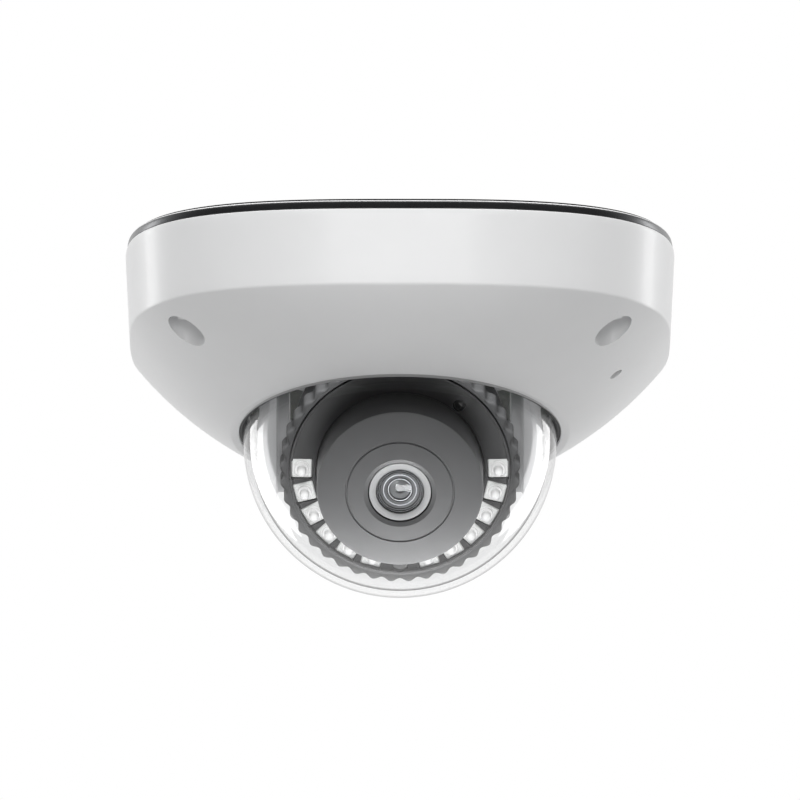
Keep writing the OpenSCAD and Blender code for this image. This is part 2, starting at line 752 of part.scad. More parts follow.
// ---------------------------------------------------------------- filter and image sensor
module filter_case() {
    color([0.2, 0.2, 0.2]) at_lens() difference() {
        union() {
            block(case_w, case_d, chip_z, case_top);
            rod(tube_r, case_top - eps, tube_front);
        }
        block(11, 9, chip_z - 1, slot_z[0] - 0.6);
        block(case_w - 2, slide_d + 0.6, slot_z[0], slot_z[1]);
        rod(filter_r + 0.2, slot_z[0] - 1, case_top);
        rod(barrel_r, case_top - 0.4, tube_front + 1);
    }
}
module slide_spots() {
    translate([0, 0, 0]) children();
    translate([-filter_travel, 0, 0]) children();
}
module filter_slide() {
    color("ivory") at_lens() difference() {
        translate([-filter_travel / 2, 0, 0]) block(slide_w, slide_d, slide_z, slide_z + slide_th);
        slide_spots() rod(filter_r, slide_z - 1, slide_z + slide_th + 1);
    }
}
module cut_filter() { color("teal") at_lens() rod(filter_r, filter_z[0], filter_z[1]); }
module clear_filter() {
    color("lightblue") at_lens() translate([-filter_travel, 0, 0]) rod(filter_r, filter_z[0], filter_z[1]);
}
module image_sensor() { color("black") at_lens() block(9, 7.4, chip_z, chip_z + 1.1); }
module sensor_board() {
    color("darkgreen") at_lens() difference() {
        block(sensor_pcb_w, sensor_pcb_w, sensor_pcb_z, chip_z);
        at_spots(sensor_posts) rod(sensor_screw_r + 0.1, sensor_pcb_z - 1, chip_z + 1);
    }
}
module sensor_screws() {
    color("silver") at_lens() at_spots(sensor_posts) translate([0, 0, chip_z])
        rotate([180, 0, 0]) screw(sensor_screw_r, sensor_pcb_th + 2, 1.5, 1);
}
module sensor_flex_socket() {
    color("ivory") at_lens() translate([0, -7, 0]) flex_socket(sensor_pcb_z, 12);
}

ceiling_pad();
base_plate();
base_seal();
cable_gland();
cover_shell();
cover_screws();
screw_o_rings();
dome_bubble();
dome_seal();
dome_clamp();
clamp_screws();
microphone();
mic_boot();
main_board();
board_screws();
processor();
heat_pad();
card_slot();
cable_header();
main_flex_socket();
capacitors();
reset_switch();
reset_button();
pan_base();
pan_base_screws();
pan_retainer();
retainer_screws();
yoke();
tilt_pivots();
tilt_washers();
tilt_holder();
module_drum();
drum_clip();
drum_screws();
grip_ring();
lamp_board();
lamps();
lamp_cover();
light_sensor();
status_window();
nose_cap();
lens_barrel();
lens_trim();
front_glass();
filter_case();
filter_slide();
cut_filter();
clear_filter();
image_sensor();
sensor_board();
sensor_screws();
sensor_flex_socket();
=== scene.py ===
"""Looks for the ceiling dome camera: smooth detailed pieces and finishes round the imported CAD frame.

Shapes are written in millimetres in the row frame (+Z up, ceiling at z = 0, front at -Y) and become
metres in put(). Sizes and places come from the frame's boxes and joints where it gives them.
"""
import bpy
import bmesh
import json
from math import asin, cos, degrees, pi, radians, sin, sqrt, tan
from mathutils import Matrix, Vector

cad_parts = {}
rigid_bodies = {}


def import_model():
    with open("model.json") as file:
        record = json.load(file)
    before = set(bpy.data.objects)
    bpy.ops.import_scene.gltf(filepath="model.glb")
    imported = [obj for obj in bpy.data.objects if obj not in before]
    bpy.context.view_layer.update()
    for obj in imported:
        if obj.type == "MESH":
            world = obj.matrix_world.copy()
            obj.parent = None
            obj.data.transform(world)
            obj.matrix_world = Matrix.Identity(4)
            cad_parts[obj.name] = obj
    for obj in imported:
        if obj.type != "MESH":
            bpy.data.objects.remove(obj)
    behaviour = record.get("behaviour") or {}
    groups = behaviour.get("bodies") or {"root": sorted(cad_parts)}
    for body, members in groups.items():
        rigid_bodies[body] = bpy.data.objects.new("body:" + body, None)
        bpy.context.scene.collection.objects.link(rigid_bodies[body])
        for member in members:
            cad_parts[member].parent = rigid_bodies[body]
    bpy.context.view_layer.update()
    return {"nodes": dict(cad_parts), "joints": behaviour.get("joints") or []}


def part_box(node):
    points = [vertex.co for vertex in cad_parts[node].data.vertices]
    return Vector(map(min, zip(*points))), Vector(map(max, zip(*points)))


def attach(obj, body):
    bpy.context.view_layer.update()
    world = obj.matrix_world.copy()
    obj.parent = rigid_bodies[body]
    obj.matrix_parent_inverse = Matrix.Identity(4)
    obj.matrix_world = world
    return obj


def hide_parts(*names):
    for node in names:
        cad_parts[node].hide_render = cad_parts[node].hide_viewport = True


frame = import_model()

# ------------------------------------------------------------------ sizes, mm
MM = 0.001


def low(node):
    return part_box(node)[0] / MM


def high(node):
    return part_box(node)[1] / MM


JOINTS = {j["name"]: j for j in frame["joints"]}
EYE_Z = JOINTS["pan"]["pos_m"][2] / MM
LOOK_DOWN = degrees(asin(-JOINTS["roll"]["axis"][2]))

# The cover. CORNER_N is the power of its rounded square, EDGE_TILT how many degrees its lower edge
# rises to the front, and SWELL how far its underside bulges past a straight line.
HALF_W = high("cover_shell").x
COVER_TOP = high("cover_shell").z
CORNER_N = 3.05
BAND_H = 16.7
BAND_DRAFT = 0.85
EDGE_TILT = 1.7
SWELL = 0.98
WALL = 2.0
HALF_EDGE = HALF_W - BAND_DRAFT
EDGE_Z = COVER_TOP - BAND_H

# The base plate and the foam pad on it.
FLOOR_Z = -4.0
RIM_Z = -2.0
PAD_TH = 0.4
RIM_HALF = HALF_W - 0.35
RIM_SOFT = 0.45
MOUNT_HOLE_R = 2.25

# The bubble and the lip round it, which both lean DOME_TILT degrees to the front.
DOME_R = EYE_Z - low("dome_bubble").z
DOME_IN = DOME_R - 1.4
DOME_TILT = 9.5
LIP_RISE = 1.7
LIP_IN = DOME_R + 0.8
LIP_OUT = LIP_IN + 1.7
LEDGE = LIP_RISE + 1.7
FLANGE_R = LIP_IN + 1.9
FLANGE_Z = LEDGE + 0.6
POCKET_R = FLANGE_R + 0.2
SEAL_SQUEEZE = 0.02

# Screws, microphone and cable gland, as (x, y) from the middle of the base.
SCREW_X, SCREW_Y = HALF_W - 12.6, HALF_W - 21.6
SCREW_SPOTS = [(sx * SCREW_X, sy * SCREW_Y) for sx in (-1, 1) for sy in (-1, 1)]
WELL_R, WELL_TOP, BOSS_TOP = 3.65, -13.6, -11.0
MIC_SPOT = (HALF_W - 11.9, -15.3)
MIC_FLOOR = EDGE_Z - 5.2
MOUNT_SPOTS = [(sx * 30, sy * 40) for sx in (-1, 1) for sy in (-1, 1)]
BEARING_POST_AT, BEARING_POST_END = 37.1, -16.95
BOARD_POST_AT, BOARD_POST_END = 33.1 - 3.6, -7.0
GLAND_Y = HALF_W - 13
GLAND_R = 7.0
FAR_DOWN = -60

# The lens unit, along its own axis from the tilt axis.
ENV_R = DOME_IN - 0.8
GRIP_FRONT, GRIP_TH = 15.6, 5.1
GRIP_BACK = GRIP_FRONT - GRIP_TH
GRIP_R = sqrt(ENV_R**2 - GRIP_FRONT**2) - 0.65
RIDGE_DEPTH = 0.75
RIDGES = round(2 * pi * GRIP_R / 3.7)
LAMP_R = GRIP_R - 4.4
LAMP_W = 4.2
LAMP_STEP = degrees(2 * asin((LAMP_W + 0.91) / 2 / LAMP_R))
LAMP_COUNT = 1 + int(80 / LAMP_STEP)
LAMP_Z = GRIP_BACK + 2
FACE_BACK, FACE_FRONT, FACE_RIM = LAMP_Z + 0.4, GRIP_FRONT - 0.8, GRIP_FRONT + 0.1
FACE_R = GRIP_R - 1.9
NOSE_R = LAMP_R - LAMP_W / 2 - 0.9
NOSE_EDGE = sqrt(ENV_R**2 - NOSE_R**2) - 0.01
NOSE_RISE = 3.0
NOSE_WALL = 1.6
LENS_R = 6.25
LENS_HOLE_R = LENS_R + 0.65
LENS_FRONT = NOSE_EDGE + NOSE_RISE - 1.4
GROOVE_R = (NOSE_R + LENS_HOLE_R) / 2 - 1.05
GLASS_R = 4.62
# Distance from the lens axis, angle round it, and radius of the hole.
SENSOR = (LAMP_R - 1.3, 50, 1.28)
STATUS = (LAMP_R + 0.5, -90, 1.75)

# The yoke and its bearing.
ARM_R, NECK_R, ARM_IN, ARM_HALF = ENV_R - 0.5, ENV_R - 1, GRIP_R + 0.6, 11.0
RING_H = (17.0, 20.0)
RING_IN, RING_OUT = ARM_IN, NECK_R + 2.1
PAD_X = LAMP_R + 0.3 + 1.3 + 0.5 + 0.3

# ------------------------------------------------------------------ frames of the leaning parts
WORLD = Matrix.Identity(4)
BUBBLE = Matrix.Translation((0, 0, EYE_Z)) @ Matrix.Rotation(radians(-DOME_TILT), 4, "X")
LENS = Matrix.Translation((0, 0, EYE_Z)) @ Matrix.Rotation(radians(90 + LOOK_DOWN), 4, "X")


# ------------------------------------------------------------------ mesh helpers
def put(name, points, faces, at=WORLD, sharp=34):
    """A mesh object from points in mm, with its normals outwards and crisp edges kept crisp."""
    mesh = bpy.data.meshes.new(name)
    mesh.from_pydata([(at @ Vector(p)) * MM for p in points], [], faces)
    work = bmesh.new()
    work.from_mesh(mesh)
    bmesh.ops.remove_doubles(work, verts=work.verts, dist=1e-6)
    bmesh.ops.recalc_face_normals(work, faces=work.faces)
    work.to_mesh(mesh)
    work.free()
    thing = bpy.data.objects.new(name, mesh)
    bpy.context.scene.collection.objects.link(thing)
    smooth(thing, sharp)
    return thing


def smooth(thing, sharp=34):
    thing.data.shade_smooth()
    thing.data.set_sharp_from_angle(angle=radians(sharp))


def rings_to_faces(rings, tube):
    """Quads between rings of equal length. A tube also joins its last ring to its first."""
    n = len(rings[0])
    pairs = [(k, k + 1) for k in range(len(rings) - 1)]
    if tube:
        pairs.append((len(rings) - 1, 0))
    faces = [(a * n + i, a * n + (i + 1) % n, b * n + (i + 1) % n, b * n + i)
             for a, b in pairs for i in range(n)]
    if not tube:
        faces.append(tuple(reversed(range(n))))
        faces.append(tuple((len(rings) - 1) * n + i for i in range(n)))
    return faces


def loft(name, rings, tube=False, at=WORLD, sharp=34):
    return put(name, [p for ring in rings for p in ring], rings_to_faces(rings, tube), at, sharp)


def eased(profile, radius, steps=3):
    """A closed outline with its corners rounded, apart from those that hardly bend."""
    least_bend, reach = radians(18), 0.42
    out = []
    count = len(profile)
    for i, corner in enumerate(profile):
        c = Vector(corner)
        back, ahead = Vector(profile[i - 1]) - c, Vector(profile[(i + 1) % count]) - c
        if corner[0] < 1e-6 or back.length < 1e-6 or ahead.length < 1e-6:
            out.append(tuple(c))
            continue
        if pi - back.angle(ahead) < least_bend:
            out.append(tuple(c))
            continue
        t = min(radius, reach * back.length, reach * ahead.length)
        p, q = c + back.normalized() * t, c + ahead.normalized() * t
        for k in range(steps + 1):
            s = k / steps
            out.append(tuple((1 - s) ** 2 * p + 2 * s * (1 - s) * c + s * s * q))
    return out


def turned(name, profiles, at=WORLD, segments=160, ease=0.0, sharp=34):
    """Closed (radius, height) outlines turned about the frame's Z axis, as one mesh."""
    turns = [2 * pi * i / segments for i in range(segments)]
    points, faces = [], []
    for profile in profiles:
        outline = eased(profile, ease) if ease else profile
        rings = [[(r * cos(a), r * sin(a), z) for a in turns] for r, z in outline]
        start = len(points)
        points += [p for ring in rings for p in ring]
        faces += [tuple(start + v for v in face) for face in rings_to_faces(rings, True)]
    return put(name, points, faces, at, sharp)


def rod(r, z0, z1):
    return [(0, z0), (r, z0), (r, z1), (0, z1)]


def hoop(r_in, r_out, z0, z1):
    return [(r_in, z0), (r_out, z0), (r_out, z1), (r_in, z1)]


def prism(name, outline, z0, z1, at=WORLD):
    return loft(name, [[(x, y, z0) for x, y in outline], [(x, y, z1) for x, y in outline]], at=at)


def rounded_square(half, r, steps=5):
    points = []
    for k, (sx, sy) in enumerate([(1, 1), (-1, 1), (-1, -1), (1, -1)]):
        for i in range(steps + 1):
            a = radians(90 * k + 90 * i / steps)
            points.append((sx * (half - r) + r * cos(a), sy * (half - r) + r * sin(a)))
    return points


def joined(name, things):
    """Several loose meshes as one object."""
    work = bmesh.new()
    for thing in things:
        work.from_mesh(thing.data)
        bpy.data.objects.remove(thing)
    mesh = bpy.data.meshes.new(name)
    work.to_mesh(mesh)
    work.free()
    whole = bpy.data.objects.new(name, mesh)
    bpy.context.scene.collection.objects.link(whole)
    smooth(whole)
    return whole


def applied(thing):
    """Turns a piece's modifiers into its mesh."""
    graph = bpy.context.evaluated_depsgraph_get()
    mesh = bpy.data.meshes.new_from_object(thing.evaluated_get(graph))
    thing.modifiers.clear()
    thing.data = mesh
    return thing


def combine(thing, other, how, sharp=34):
    change = thing.modifiers.new("change", "BOOLEAN")
    change.operation = how
    change.object = other
    change.solver = "MANIFOLD"
    applied(thing)
    bpy.data.objects.remove(other)
    smooth(thing, sharp)
    return thing


def spots(name, places, profile, at=WORLD, segments=64, ease=0.0):
    """Copies of one turned shape at several places of a frame."""
    return joined(name, [turned(f"{name}_{i}", [profile], at @ Matrix.Translation((*p, 0)), segments, ease)
                         for i, p in enumerate(places)])


def polar(radius, angle):
    return (radius * cos(radians(angle)), radius * sin(radians(angle)))


def belongs(thing, body, slot, look, *nodes):
    """Gives a piece its body, its CAD nodes and its material. slot is not used."""
    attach(thing, body)
    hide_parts(*nodes)
    thing.data.materials.clear()
    thing.data.materials.append(look)
    return thing


# ------------------------------------------------------------------ materials
def noise(nodes, links, coords, scale, detail=4.0, rough=0.55):
    texture = nodes.new("ShaderNodeTexNoise")
    texture.inputs["Scale"].default_value = scale
    texture.inputs["Detail"].default_value = detail
    texture.inputs["Roughness"].default_value = rough
    links.new(coords, texture.inputs["Vector"])
    return texture.outputs["Fac"]


def ranged(nodes, links, value, out_low, out_high, in_low=0.3, in_high=0.7):
    spread = nodes.new("ShaderNodeMapRange")
    spread.inputs["From Min"].default_value = in_low
    spread.inputs["From Max"].default_value = in_high
    spread.inputs["To Min"].default_value = out_low
    spread.inputs["To Max"].default_value = out_high
    links.new(value, spread.inputs["Value"])
    return spread.outputs["Result"]


def finish(name, colour, rough, metal=0.0, coat=0.0, grain=2600.0, depth=0.004, tint=0.05, vary=0.05,
           patch=70.0, stretch=(1, 1, 1), transmission=0.0, ior=1.5, second=None, specular=0.5):
    """A procedural finish: patchy colour, grain in its roughness, and fine relief depth mm deep."""
    material = bpy.data.materials.new(name)
    material.use_nodes = True
    nodes, links = material.node_tree.nodes, material.node_tree.links
    shader = nodes["Principled BSDF"]
    place = nodes.new("ShaderNodeTexCoord")
    scaled = nodes.new("ShaderNodeMapping")
    scaled.inputs["Scale"].default_value = stretch
    links.new(place.outputs["Object"], scaled.inputs["Vector"])
    coords = scaled.outputs["Vector"]
    fine = noise(nodes, links, coords, grain)
    broad = noise(nodes, links, coords, patch, 3.0)
    mix = nodes.new("ShaderNodeMix")
    mix.data_type = "RGBA"
    darker = second or [c * (1 - tint) for c in colour]
    lighter = [min(1.0, c * (1 + tint)) for c in colour]
    mix.inputs["A"].default_value = (*darker, 1)
    mix.inputs["B"].default_value = (*lighter, 1)
    links.new(ranged(nodes, links, broad, 0, 1), mix.inputs["Factor"])
    links.new(mix.outputs["Result"], shader.inputs["Base Color"])
    links.new(ranged(nodes, links, fine, rough - vary, rough + vary), shader.inputs["Roughness"])
    bump = nodes.new("ShaderNodeBump")
    bump.inputs["Strength"].default_value = 1.0
    bump.inputs["Distance"].default_value = depth * MM
    links.new(fine, bump.inputs["Height"])
    links.new(bump.outputs["Normal"], shader.inputs["Normal"])
    shader.inputs["Metallic"].default_value = metal
    shader.inputs["Coat Weight"].default_value = coat
    shader.inputs["Coat Roughness"].default_value = 0.12
    shader.inputs["Transmission Weight"].default_value = transmission
    shader.inputs["IOR"].default_value = ior
    shader.inputs["Specular IOR Level"].default_value = specular
    return material


def clear_finish(name, tint, base, scratch=0.012, mirror_power=5.0, head_on=0.035, edge=0.0, wall=None):
    """Clear moulded plastic or glass as a thin wall: light goes straight through, and its edges mirror.

    edge is how dark the wall turns where it is seen edge on; that dark line is painted shade, standing in for
    the dark edge that refraction gives a real clear wall. wall gives the centre of a bubble and its inner and
    outer radius in mm, so that its inside carries that line, mostly low down, and its outside a fainter one;
    the stronger line low down is painted shade as well. head_on and mirror_power say how much it mirrors seen
    flat on and how soon that grows.
    """
    line_starts, line_full = 0.82, 0.92
    outer_share, upper_share, low_part = 0.3, 0.12, 0.6
    material = bpy.data.materials.new(name)
    material.use_nodes = True
    nodes, links = material.node_tree.nodes, material.node_tree.links
    nodes.remove(nodes["Principled BSDF"])
    place = nodes.new("ShaderNodeTexCoord")
    facing = nodes.new("ShaderNodeLayerWeight")
    line = ranged(nodes, links, facing.outputs["Facing"], 0.0, edge, line_starts, line_full)
    if wall:
        centre, r_in, r_out = wall
        reach = nodes.new("ShaderNodeVectorMath")
        reach.operation = "DISTANCE"
        reach.inputs[1].default_value = centre
        links.new(place.outputs["Object"], reach.inputs[0])
        split = nodes.new("ShaderNodeSeparateXYZ")
        links.new(place.outputs["Object"], split.inputs["Vector"])
        lowest, middle = centre.z - r_out * MM, centre.z
        fades_from = lowest * low_part + middle * (1 - low_part)
        for share in (ranged(nodes, links, reach.outputs["Value"], 1.0, outer_share, r_in * MM, r_out * MM),
                      ranged(nodes, links, split.outputs["Z"], 1.0, upper_share, fades_from, middle)):
            weaker = nodes.new("ShaderNodeMath")
            weaker.operation = "MULTIPLY"
            links.new(line, weaker.inputs[0])
            links.new(share, weaker.inputs[1])
            line = weaker.outputs["Value"]

    def edged(colour, shader):
        mix = nodes.new("ShaderNodeMix")
        mix.data_type = "RGBA"
        mix.inputs["A"].default_value = (*colour, 1)
        mix.inputs["B"].default_value = (0, 0, 0, 1)
        links.new(line, mix.inputs["Factor"])
        links.new(mix.outputs["Result"], shader.inputs["Color"])

    through = nodes.new("ShaderNodeBsdfTransparent")
    mirror = nodes.new("ShaderNodeBsdfGlossy")
    edged(tint, through)
    edged(base, mirror)
    fine = noise(nodes, links, place.outputs["Object"], 900.0)
    links.new(ranged(nodes, links, fine, scratch, scratch * 3), mirror.inputs["Roughness"])
    grazing = nodes.new("ShaderNodeMath")
    grazing.operation = "POWER"
    grazing.inputs[1].default_value = mirror_power
    links.new(facing.outputs["Facing"], grazing.inputs[0])
    both = nodes.new("ShaderNodeMixShader")
    links.new(ranged(nodes, links, grazing.outputs["Value"], head_on, 1.0, 0.0, 1.0), both.inputs["Fac"])
    links.new(through.outputs["BSDF"], both.inputs[1])
    links.new(mirror.outputs["BSDF"], both.inputs[2])
    links.new(both.outputs["Shader"], nodes["Material Output"].inputs["Surface"])
    return material


WHITE_PAINT = finish("white_powder_coat", (0.80, 0.803, 0.807), 0.38, coat=0.12, grain=1300, depth=0.006,
                     tint=0.012)
# The lip's grey is painted shade: the lip is the same white paint as the cover.
LIP_PAINTED_SHADE = finish("lip_painted_shade", (0.42, 0.422, 0.425), 0.40, coat=0.1, grain=1300, depth=0.004, tint=0.015)
BASE_METAL = finish("base_satin_metal", (0.10, 0.102, 0.106), 0.30, metal=0.8, grain=3200, depth=0.003,
                    stretch=(1, 1, 9))
# A painted highlight, standing in for the light the base rim's upper edge catches from above.
EDGE_HIGHLIGHT_PAINT = finish("painted_edge_highlight", (0.82, 0.82, 0.825), 0.35, metal=0.3, grain=3200, depth=0.001,
                  tint=0.03)
RUBBER = finish("black_rubber", (0.012, 0.012, 0.013), 0.62, grain=2400, depth=0.01, tint=0.3)
FOAM = finish("foam_pad", (0.05, 0.05, 0.052), 0.9, grain=1400, depth=0.09, tint=0.35, patch=600)
DARK_PLASTIC = finish("dark_moulded_plastic", (0.022, 0.022, 0.024), 0.48, grain=3000, depth=0.008,
                      tint=0.15)
YOKE_PLASTIC = finish("grey_moulded_plastic", (0.32, 0.323, 0.33), 0.42, grain=3000, depth=0.003)
GRIP_PLASTIC = finish("grip_moulded_plastic", (0.030, 0.0303, 0.031), 0.5, grain=3400, depth=0.006,
                      tint=0.08, specular=0.05)
FACE_PLASTIC = finish("lamp_face_plastic", (0.027, 0.027, 0.028), 0.42, grain=3400, depth=0.004, tint=0.12,
                      specular=0.3)
SENSOR_BLACK = finish("sensor_window", (0.004, 0.004, 0.0045), 0.22, grain=4000, depth=0.0005, tint=0.2,
                      specular=0.3)
NOSE_PLASTIC = finish("nose_plastic", (0.135, 0.136, 0.138), 0.46, grain=3600, depth=0.002, specular=0.2)
LAMP_WHITE = finish("lamp_white", (0.70, 0.71, 0.70), 0.34, grain=4000, depth=0.002, tint=0.03)
LAMP_LENS = finish("lamp_lens", (0.97, 0.97, 0.965), 0.35, grain=4000, depth=0.0005, tint=0.03, vary=0.04,
                   specular=0.2)
STATUS_LENS = finish("status_lens", (0.07, 0.071, 0.073), 0.32, grain=4000, depth=0.002, transmission=0.2)
BRIGHT_METAL = finish("bright_turned_metal", (0.30, 0.302, 0.305), 0.42, metal=0.7, grain=5200, depth=0.001)
SCREW_STEEL = finish("screw_steel", (0.55, 0.55, 0.57), 0.3, metal=1.0, grain=4200, depth=0.003, tint=0.1)
LENS_BLACK = finish("lens_black", (0.016, 0.016, 0.018), 0.35, metal=0.3, grain=4200, depth=0.004, tint=0.2)
RING_GREY = finish("lens_inner_rings", (0.105, 0.105, 0.107), 0.36, metal=0.5, grain=4200, depth=0.002)
# The bubble's dark edge line, strongest low down, is painted shade.
CLEAR_BUBBLE = clear_finish("clear_bubble", (0.995, 0.996, 0.997), (1, 1, 1), mirror_power=3.8,
                            head_on=0.02, edge=0.95,
                            wall=(Vector((0, 0, EYE_Z)) * MM, DOME_IN + 0.2, DOME_R - 0.2))
LENS_GLASS = clear_finish("lens_glass", (0.93, 0.935, 0.94), (0.97, 0.98, 1.0), 0.006, head_on=0.02)
COATED_GLASS = finish("coated_glass", (0.10, 0.10, 0.102), 0.16, coat=0.5, grain=4000, depth=0.0005,
                      tint=0.1, patch=900)
DARK_GLASS = finish("pupil_glass", (0.03, 0.03, 0.031), 0.3, grain=4000, depth=0.0005, tint=0.1, patch=900,
                    specular=0.2)
BOARD_GREEN = finish("board_green", (0.010, 0.085, 0.035), 0.4, coat=0.3, grain=1500, depth=0.03, tint=0.5,
                     patch=420, second=(0.02, 0.14, 0.06))
BOARD_WHITE = finish("board_white", (0.78, 0.79, 0.78), 0.45, grain=2500, depth=0.01, tint=0.04, patch=300)
CHIP_BLACK = finish("chip_black", (0.018, 0.018, 0.02), 0.5, grain=3600, depth=0.01, tint=0.2)
IVORY = finish("ivory_nylon", (0.66, 0.61, 0.48), 0.45, grain=2600, depth=0.005, tint=0.06)
HEAT_PAD = finish("heat_pad_silicone", (0.28, 0.36, 0.46), 0.7, grain=1700, depth=0.02, tint=0.1)
FILTER_GLASS = clear_finish("filter_glass", (0.55, 0.80, 0.78), (0.8, 0.9, 1.0), 0.006)


# ------------------------------------------------------------------ outlines of the housing
SIDES = 432


def around(make):
    """One ring: make(angle) for every angle of the turn."""
    return [make(360 * i / SIDES) for i in range(SIDES)]


def plan_r(a, half):
    return half / (abs(cos(radians(a))) ** CORNER_N + abs(sin(radians(a))) ** CORNER_N) ** (1 / CORNER_N)


def plan_point(a, half, z):
    """On a rounded square of that half width, a degrees round from +X."""
    return Vector((*polar(plan_r(a, half), a), z))


def level(half, z):
    return around(lambda a: plan_point(a, half, z))


def edge_point(a, half, lift=0.0):
    """On the leaning edge where the side band meets the underside, lift above it."""
    x, y = polar(plan_r(a, half), a)
    return Vector((x, y, EDGE_Z + lift - tan(radians(EDGE_TILT)) * y))


def bubble_point(a, r, h):
    """At radius r and height h in the bubble's own leaning frame."""
    return BUBBLE @ Vector((r * cos(radians(a)), r * sin(radians(a)), h))


def under_point(a, t, skin=0.0):
    """Down the underside: t is 0 at the edge and 1 at the lip, and skin is the depth below its face."""
    skin_in, skin_up = 0.62 * skin, 0.78 * skin
    bulge = SWELL * 4 * t * (1 - t)
    out = bulge - skin_in
    p = (1 - t) * edge_point(a, HALF_EDGE) + t * bubble_point(a, LIP_OUT, LIP_RISE)
    return p + Vector((out * cos(radians(a)), out * sin(radians(a)), -bulge + skin_up))


def band_point(a, t):
    """Down the side band: t is 0 at its top and 1 at the edge."""
    return (1 - t) * plan_point(a, HALF_W, COVER_TOP) + t * edge_point(a, HALF_EDGE)


def rounding(make_a, make_corner, make_b, steps=5):
    """Rings of a soft edge between two surfaces that would meet at a corner."""
    def ring(s):
        return around(lambda a: ((1 - s) ** 2 * make_a(a) + 2 * s * (1 - s) * make_corner(a)
                                 + s * s * make_b(a)))
    return [ring(k / steps) for k in range(steps + 1)]


def top_rounding(half, z, r, steps=3):
    return rounding(lambda a: plan_point(a, half - r, z), lambda a: plan_point(a, half, z),
                    lambda a: plan_point(a, half, z - r), steps)


def low_rounding(half, z, r, steps=3):
    return rounding(lambda a: plan_point(a, half, z + r), lambda a: plan_point(a, half, z),
                    lambda a: plan_point(a, half - r, z), steps)


# ------------------------------------------------------------------ housing
def cover_outer_rings():
    """The cover's outer face, from its top edge down to the lip."""
    soft_t, edge_t, lip_t = 0.025, 0.012, 0.994
    top = rounding(lambda a: plan_point(a, HALF_W - 0.3, COVER_TOP),
                   lambda a: plan_point(a, HALF_W - 0.02, COVER_TOP), lambda a: band_point(a, 0.02), 4)
    band = [around(lambda a, t=k / 10: band_point(a, t)) for k in range(1, 9)]
    crease = rounding(lambda a: band_point(a, 1 - soft_t), lambda a: edge_point(a, HALF_EDGE),
                      lambda a: under_point(a, edge_t), 6)
    steps = 46
    under = [around(lambda a, t=edge_t + (lip_t - edge_t) * k / steps: under_point(a, t))
             for k in range(1, steps)]
    lip = rounding(lambda a: under_point(a, lip_t), lambda a: bubble_point(a, LIP_OUT, LIP_RISE),
                   lambda a: bubble_point(a, LIP_OUT - 0.3, LIP_RISE), 4)
    return top + band + crease + under + lip


def cover_shell():
    soft, pocket_h, boss_wall, shank_r = 0.25, 1.8, 1.7, 1.8
    mic_boss_r, mic_socket_r, mic_hole_r = 4.4, 3.0, 1.2
    outer = cover_outer_rings()
    bore = rounding(lambda a: bubble_point(a, LIP_IN + soft, LIP_RISE),
                    lambda a: bubble_point(a, LIP_IN, LIP_RISE),
                    lambda a: bubble_point(a, LIP_IN, LIP_RISE + soft), 3)
    pocket = [around(lambda a, r=r, h=h: bubble_point(a, r, h))
              for r, h in ((LIP_IN, LEDGE), (POCKET_R, LEDGE), (POCKET_R, LEDGE + pocket_h))]
    inner = [around(lambda a, t=0.86 - 0.8 * k / 12: under_point(a, t, WALL)) for k in range(13)]
    inner.append(around(lambda a: edge_point(a, HALF_EDGE - WALL, 0.8 * WALL)))
    inner.append(level(HALF_W - WALL, COVER_TOP))
    shell = loft("cover_look", outer + bore + pocket + inner, tube=True)
    bosses = joined("bosses", [
        spots("screw_bosses", SCREW_SPOTS, rod(WELL_R + boss_wall, FAR_DOWN, BOSS_TOP), segments=96),
        spots("mic_bosses", [MIC_SPOT], rod(mic_boss_r, FAR_DOWN, MIC_FLOOR + 4), segments=96)])
    combine(bosses, loft("cover_block", outer), "INTERSECT")
    combine(shell, bosses, "UNION")
    cuts = joined("cuts", [
        spots("wells", SCREW_SPOTS, rod(WELL_R, FAR_DOWN, WELL_TOP), segments=128),
        spots("shanks", SCREW_SPOTS, rod(shank_r, -20, BOSS_TOP + 1), segments=48),
        spots("mic_socket", [MIC_SPOT], rod(mic_socket_r, MIC_FLOOR, MIC_FLOOR + 5), segments=64),
        spots("mic_hole", [MIC_SPOT], rod(mic_hole_r, FAR_DOWN, MIC_FLOOR + 1), segments=64)])
    combine(shell, cuts, "DIFFERENCE", sharp=28)
    return shell


belongs(cover_shell(), "housing", "white_paint", WHITE_PAINT, "cover_shell")


def lip_face():
    """The lip's flat face, wide at the front and back, where the underside stands clear of it. Its grey is
    painted shade on the cover's white paint.
    """
    inner, proud, sunk = LIP_IN + 0.08, LIP_RISE - 0.03, LIP_RISE + 0.3

    def outer(a):
        return LIP_IN + 0.1 + 1.45 * abs(sin(radians(a))) ** 1.5

    return loft("lip_look", [around(lambda a: bubble_point(a, inner, sunk)),
                             around(lambda a: bubble_point(a, inner, proud)),
                             around(lambda a: bubble_point(a, outer(a), proud)),
                             around(lambda a: bubble_point(a, outer(a), sunk))], tube=True)


belongs(lip_face(), "housing", "white_paint", LIP_PAINTED_SHADE, "cover_shell")


def rim_edge(grow=0.0, steps=5):
    """The soft upper edge of the base's rim, moved out and up by grow."""
    return rounding(lambda a: plan_point(a, RIM_HALF - RIM_SOFT + grow, -PAD_TH + grow),
                    lambda a: plan_point(a, RIM_HALF - 0.12 + grow, -PAD_TH - 0.1 + grow),
                    lambda a: plan_point(a, RIM_HALF + grow, -PAD_TH - RIM_SOFT + grow), steps)


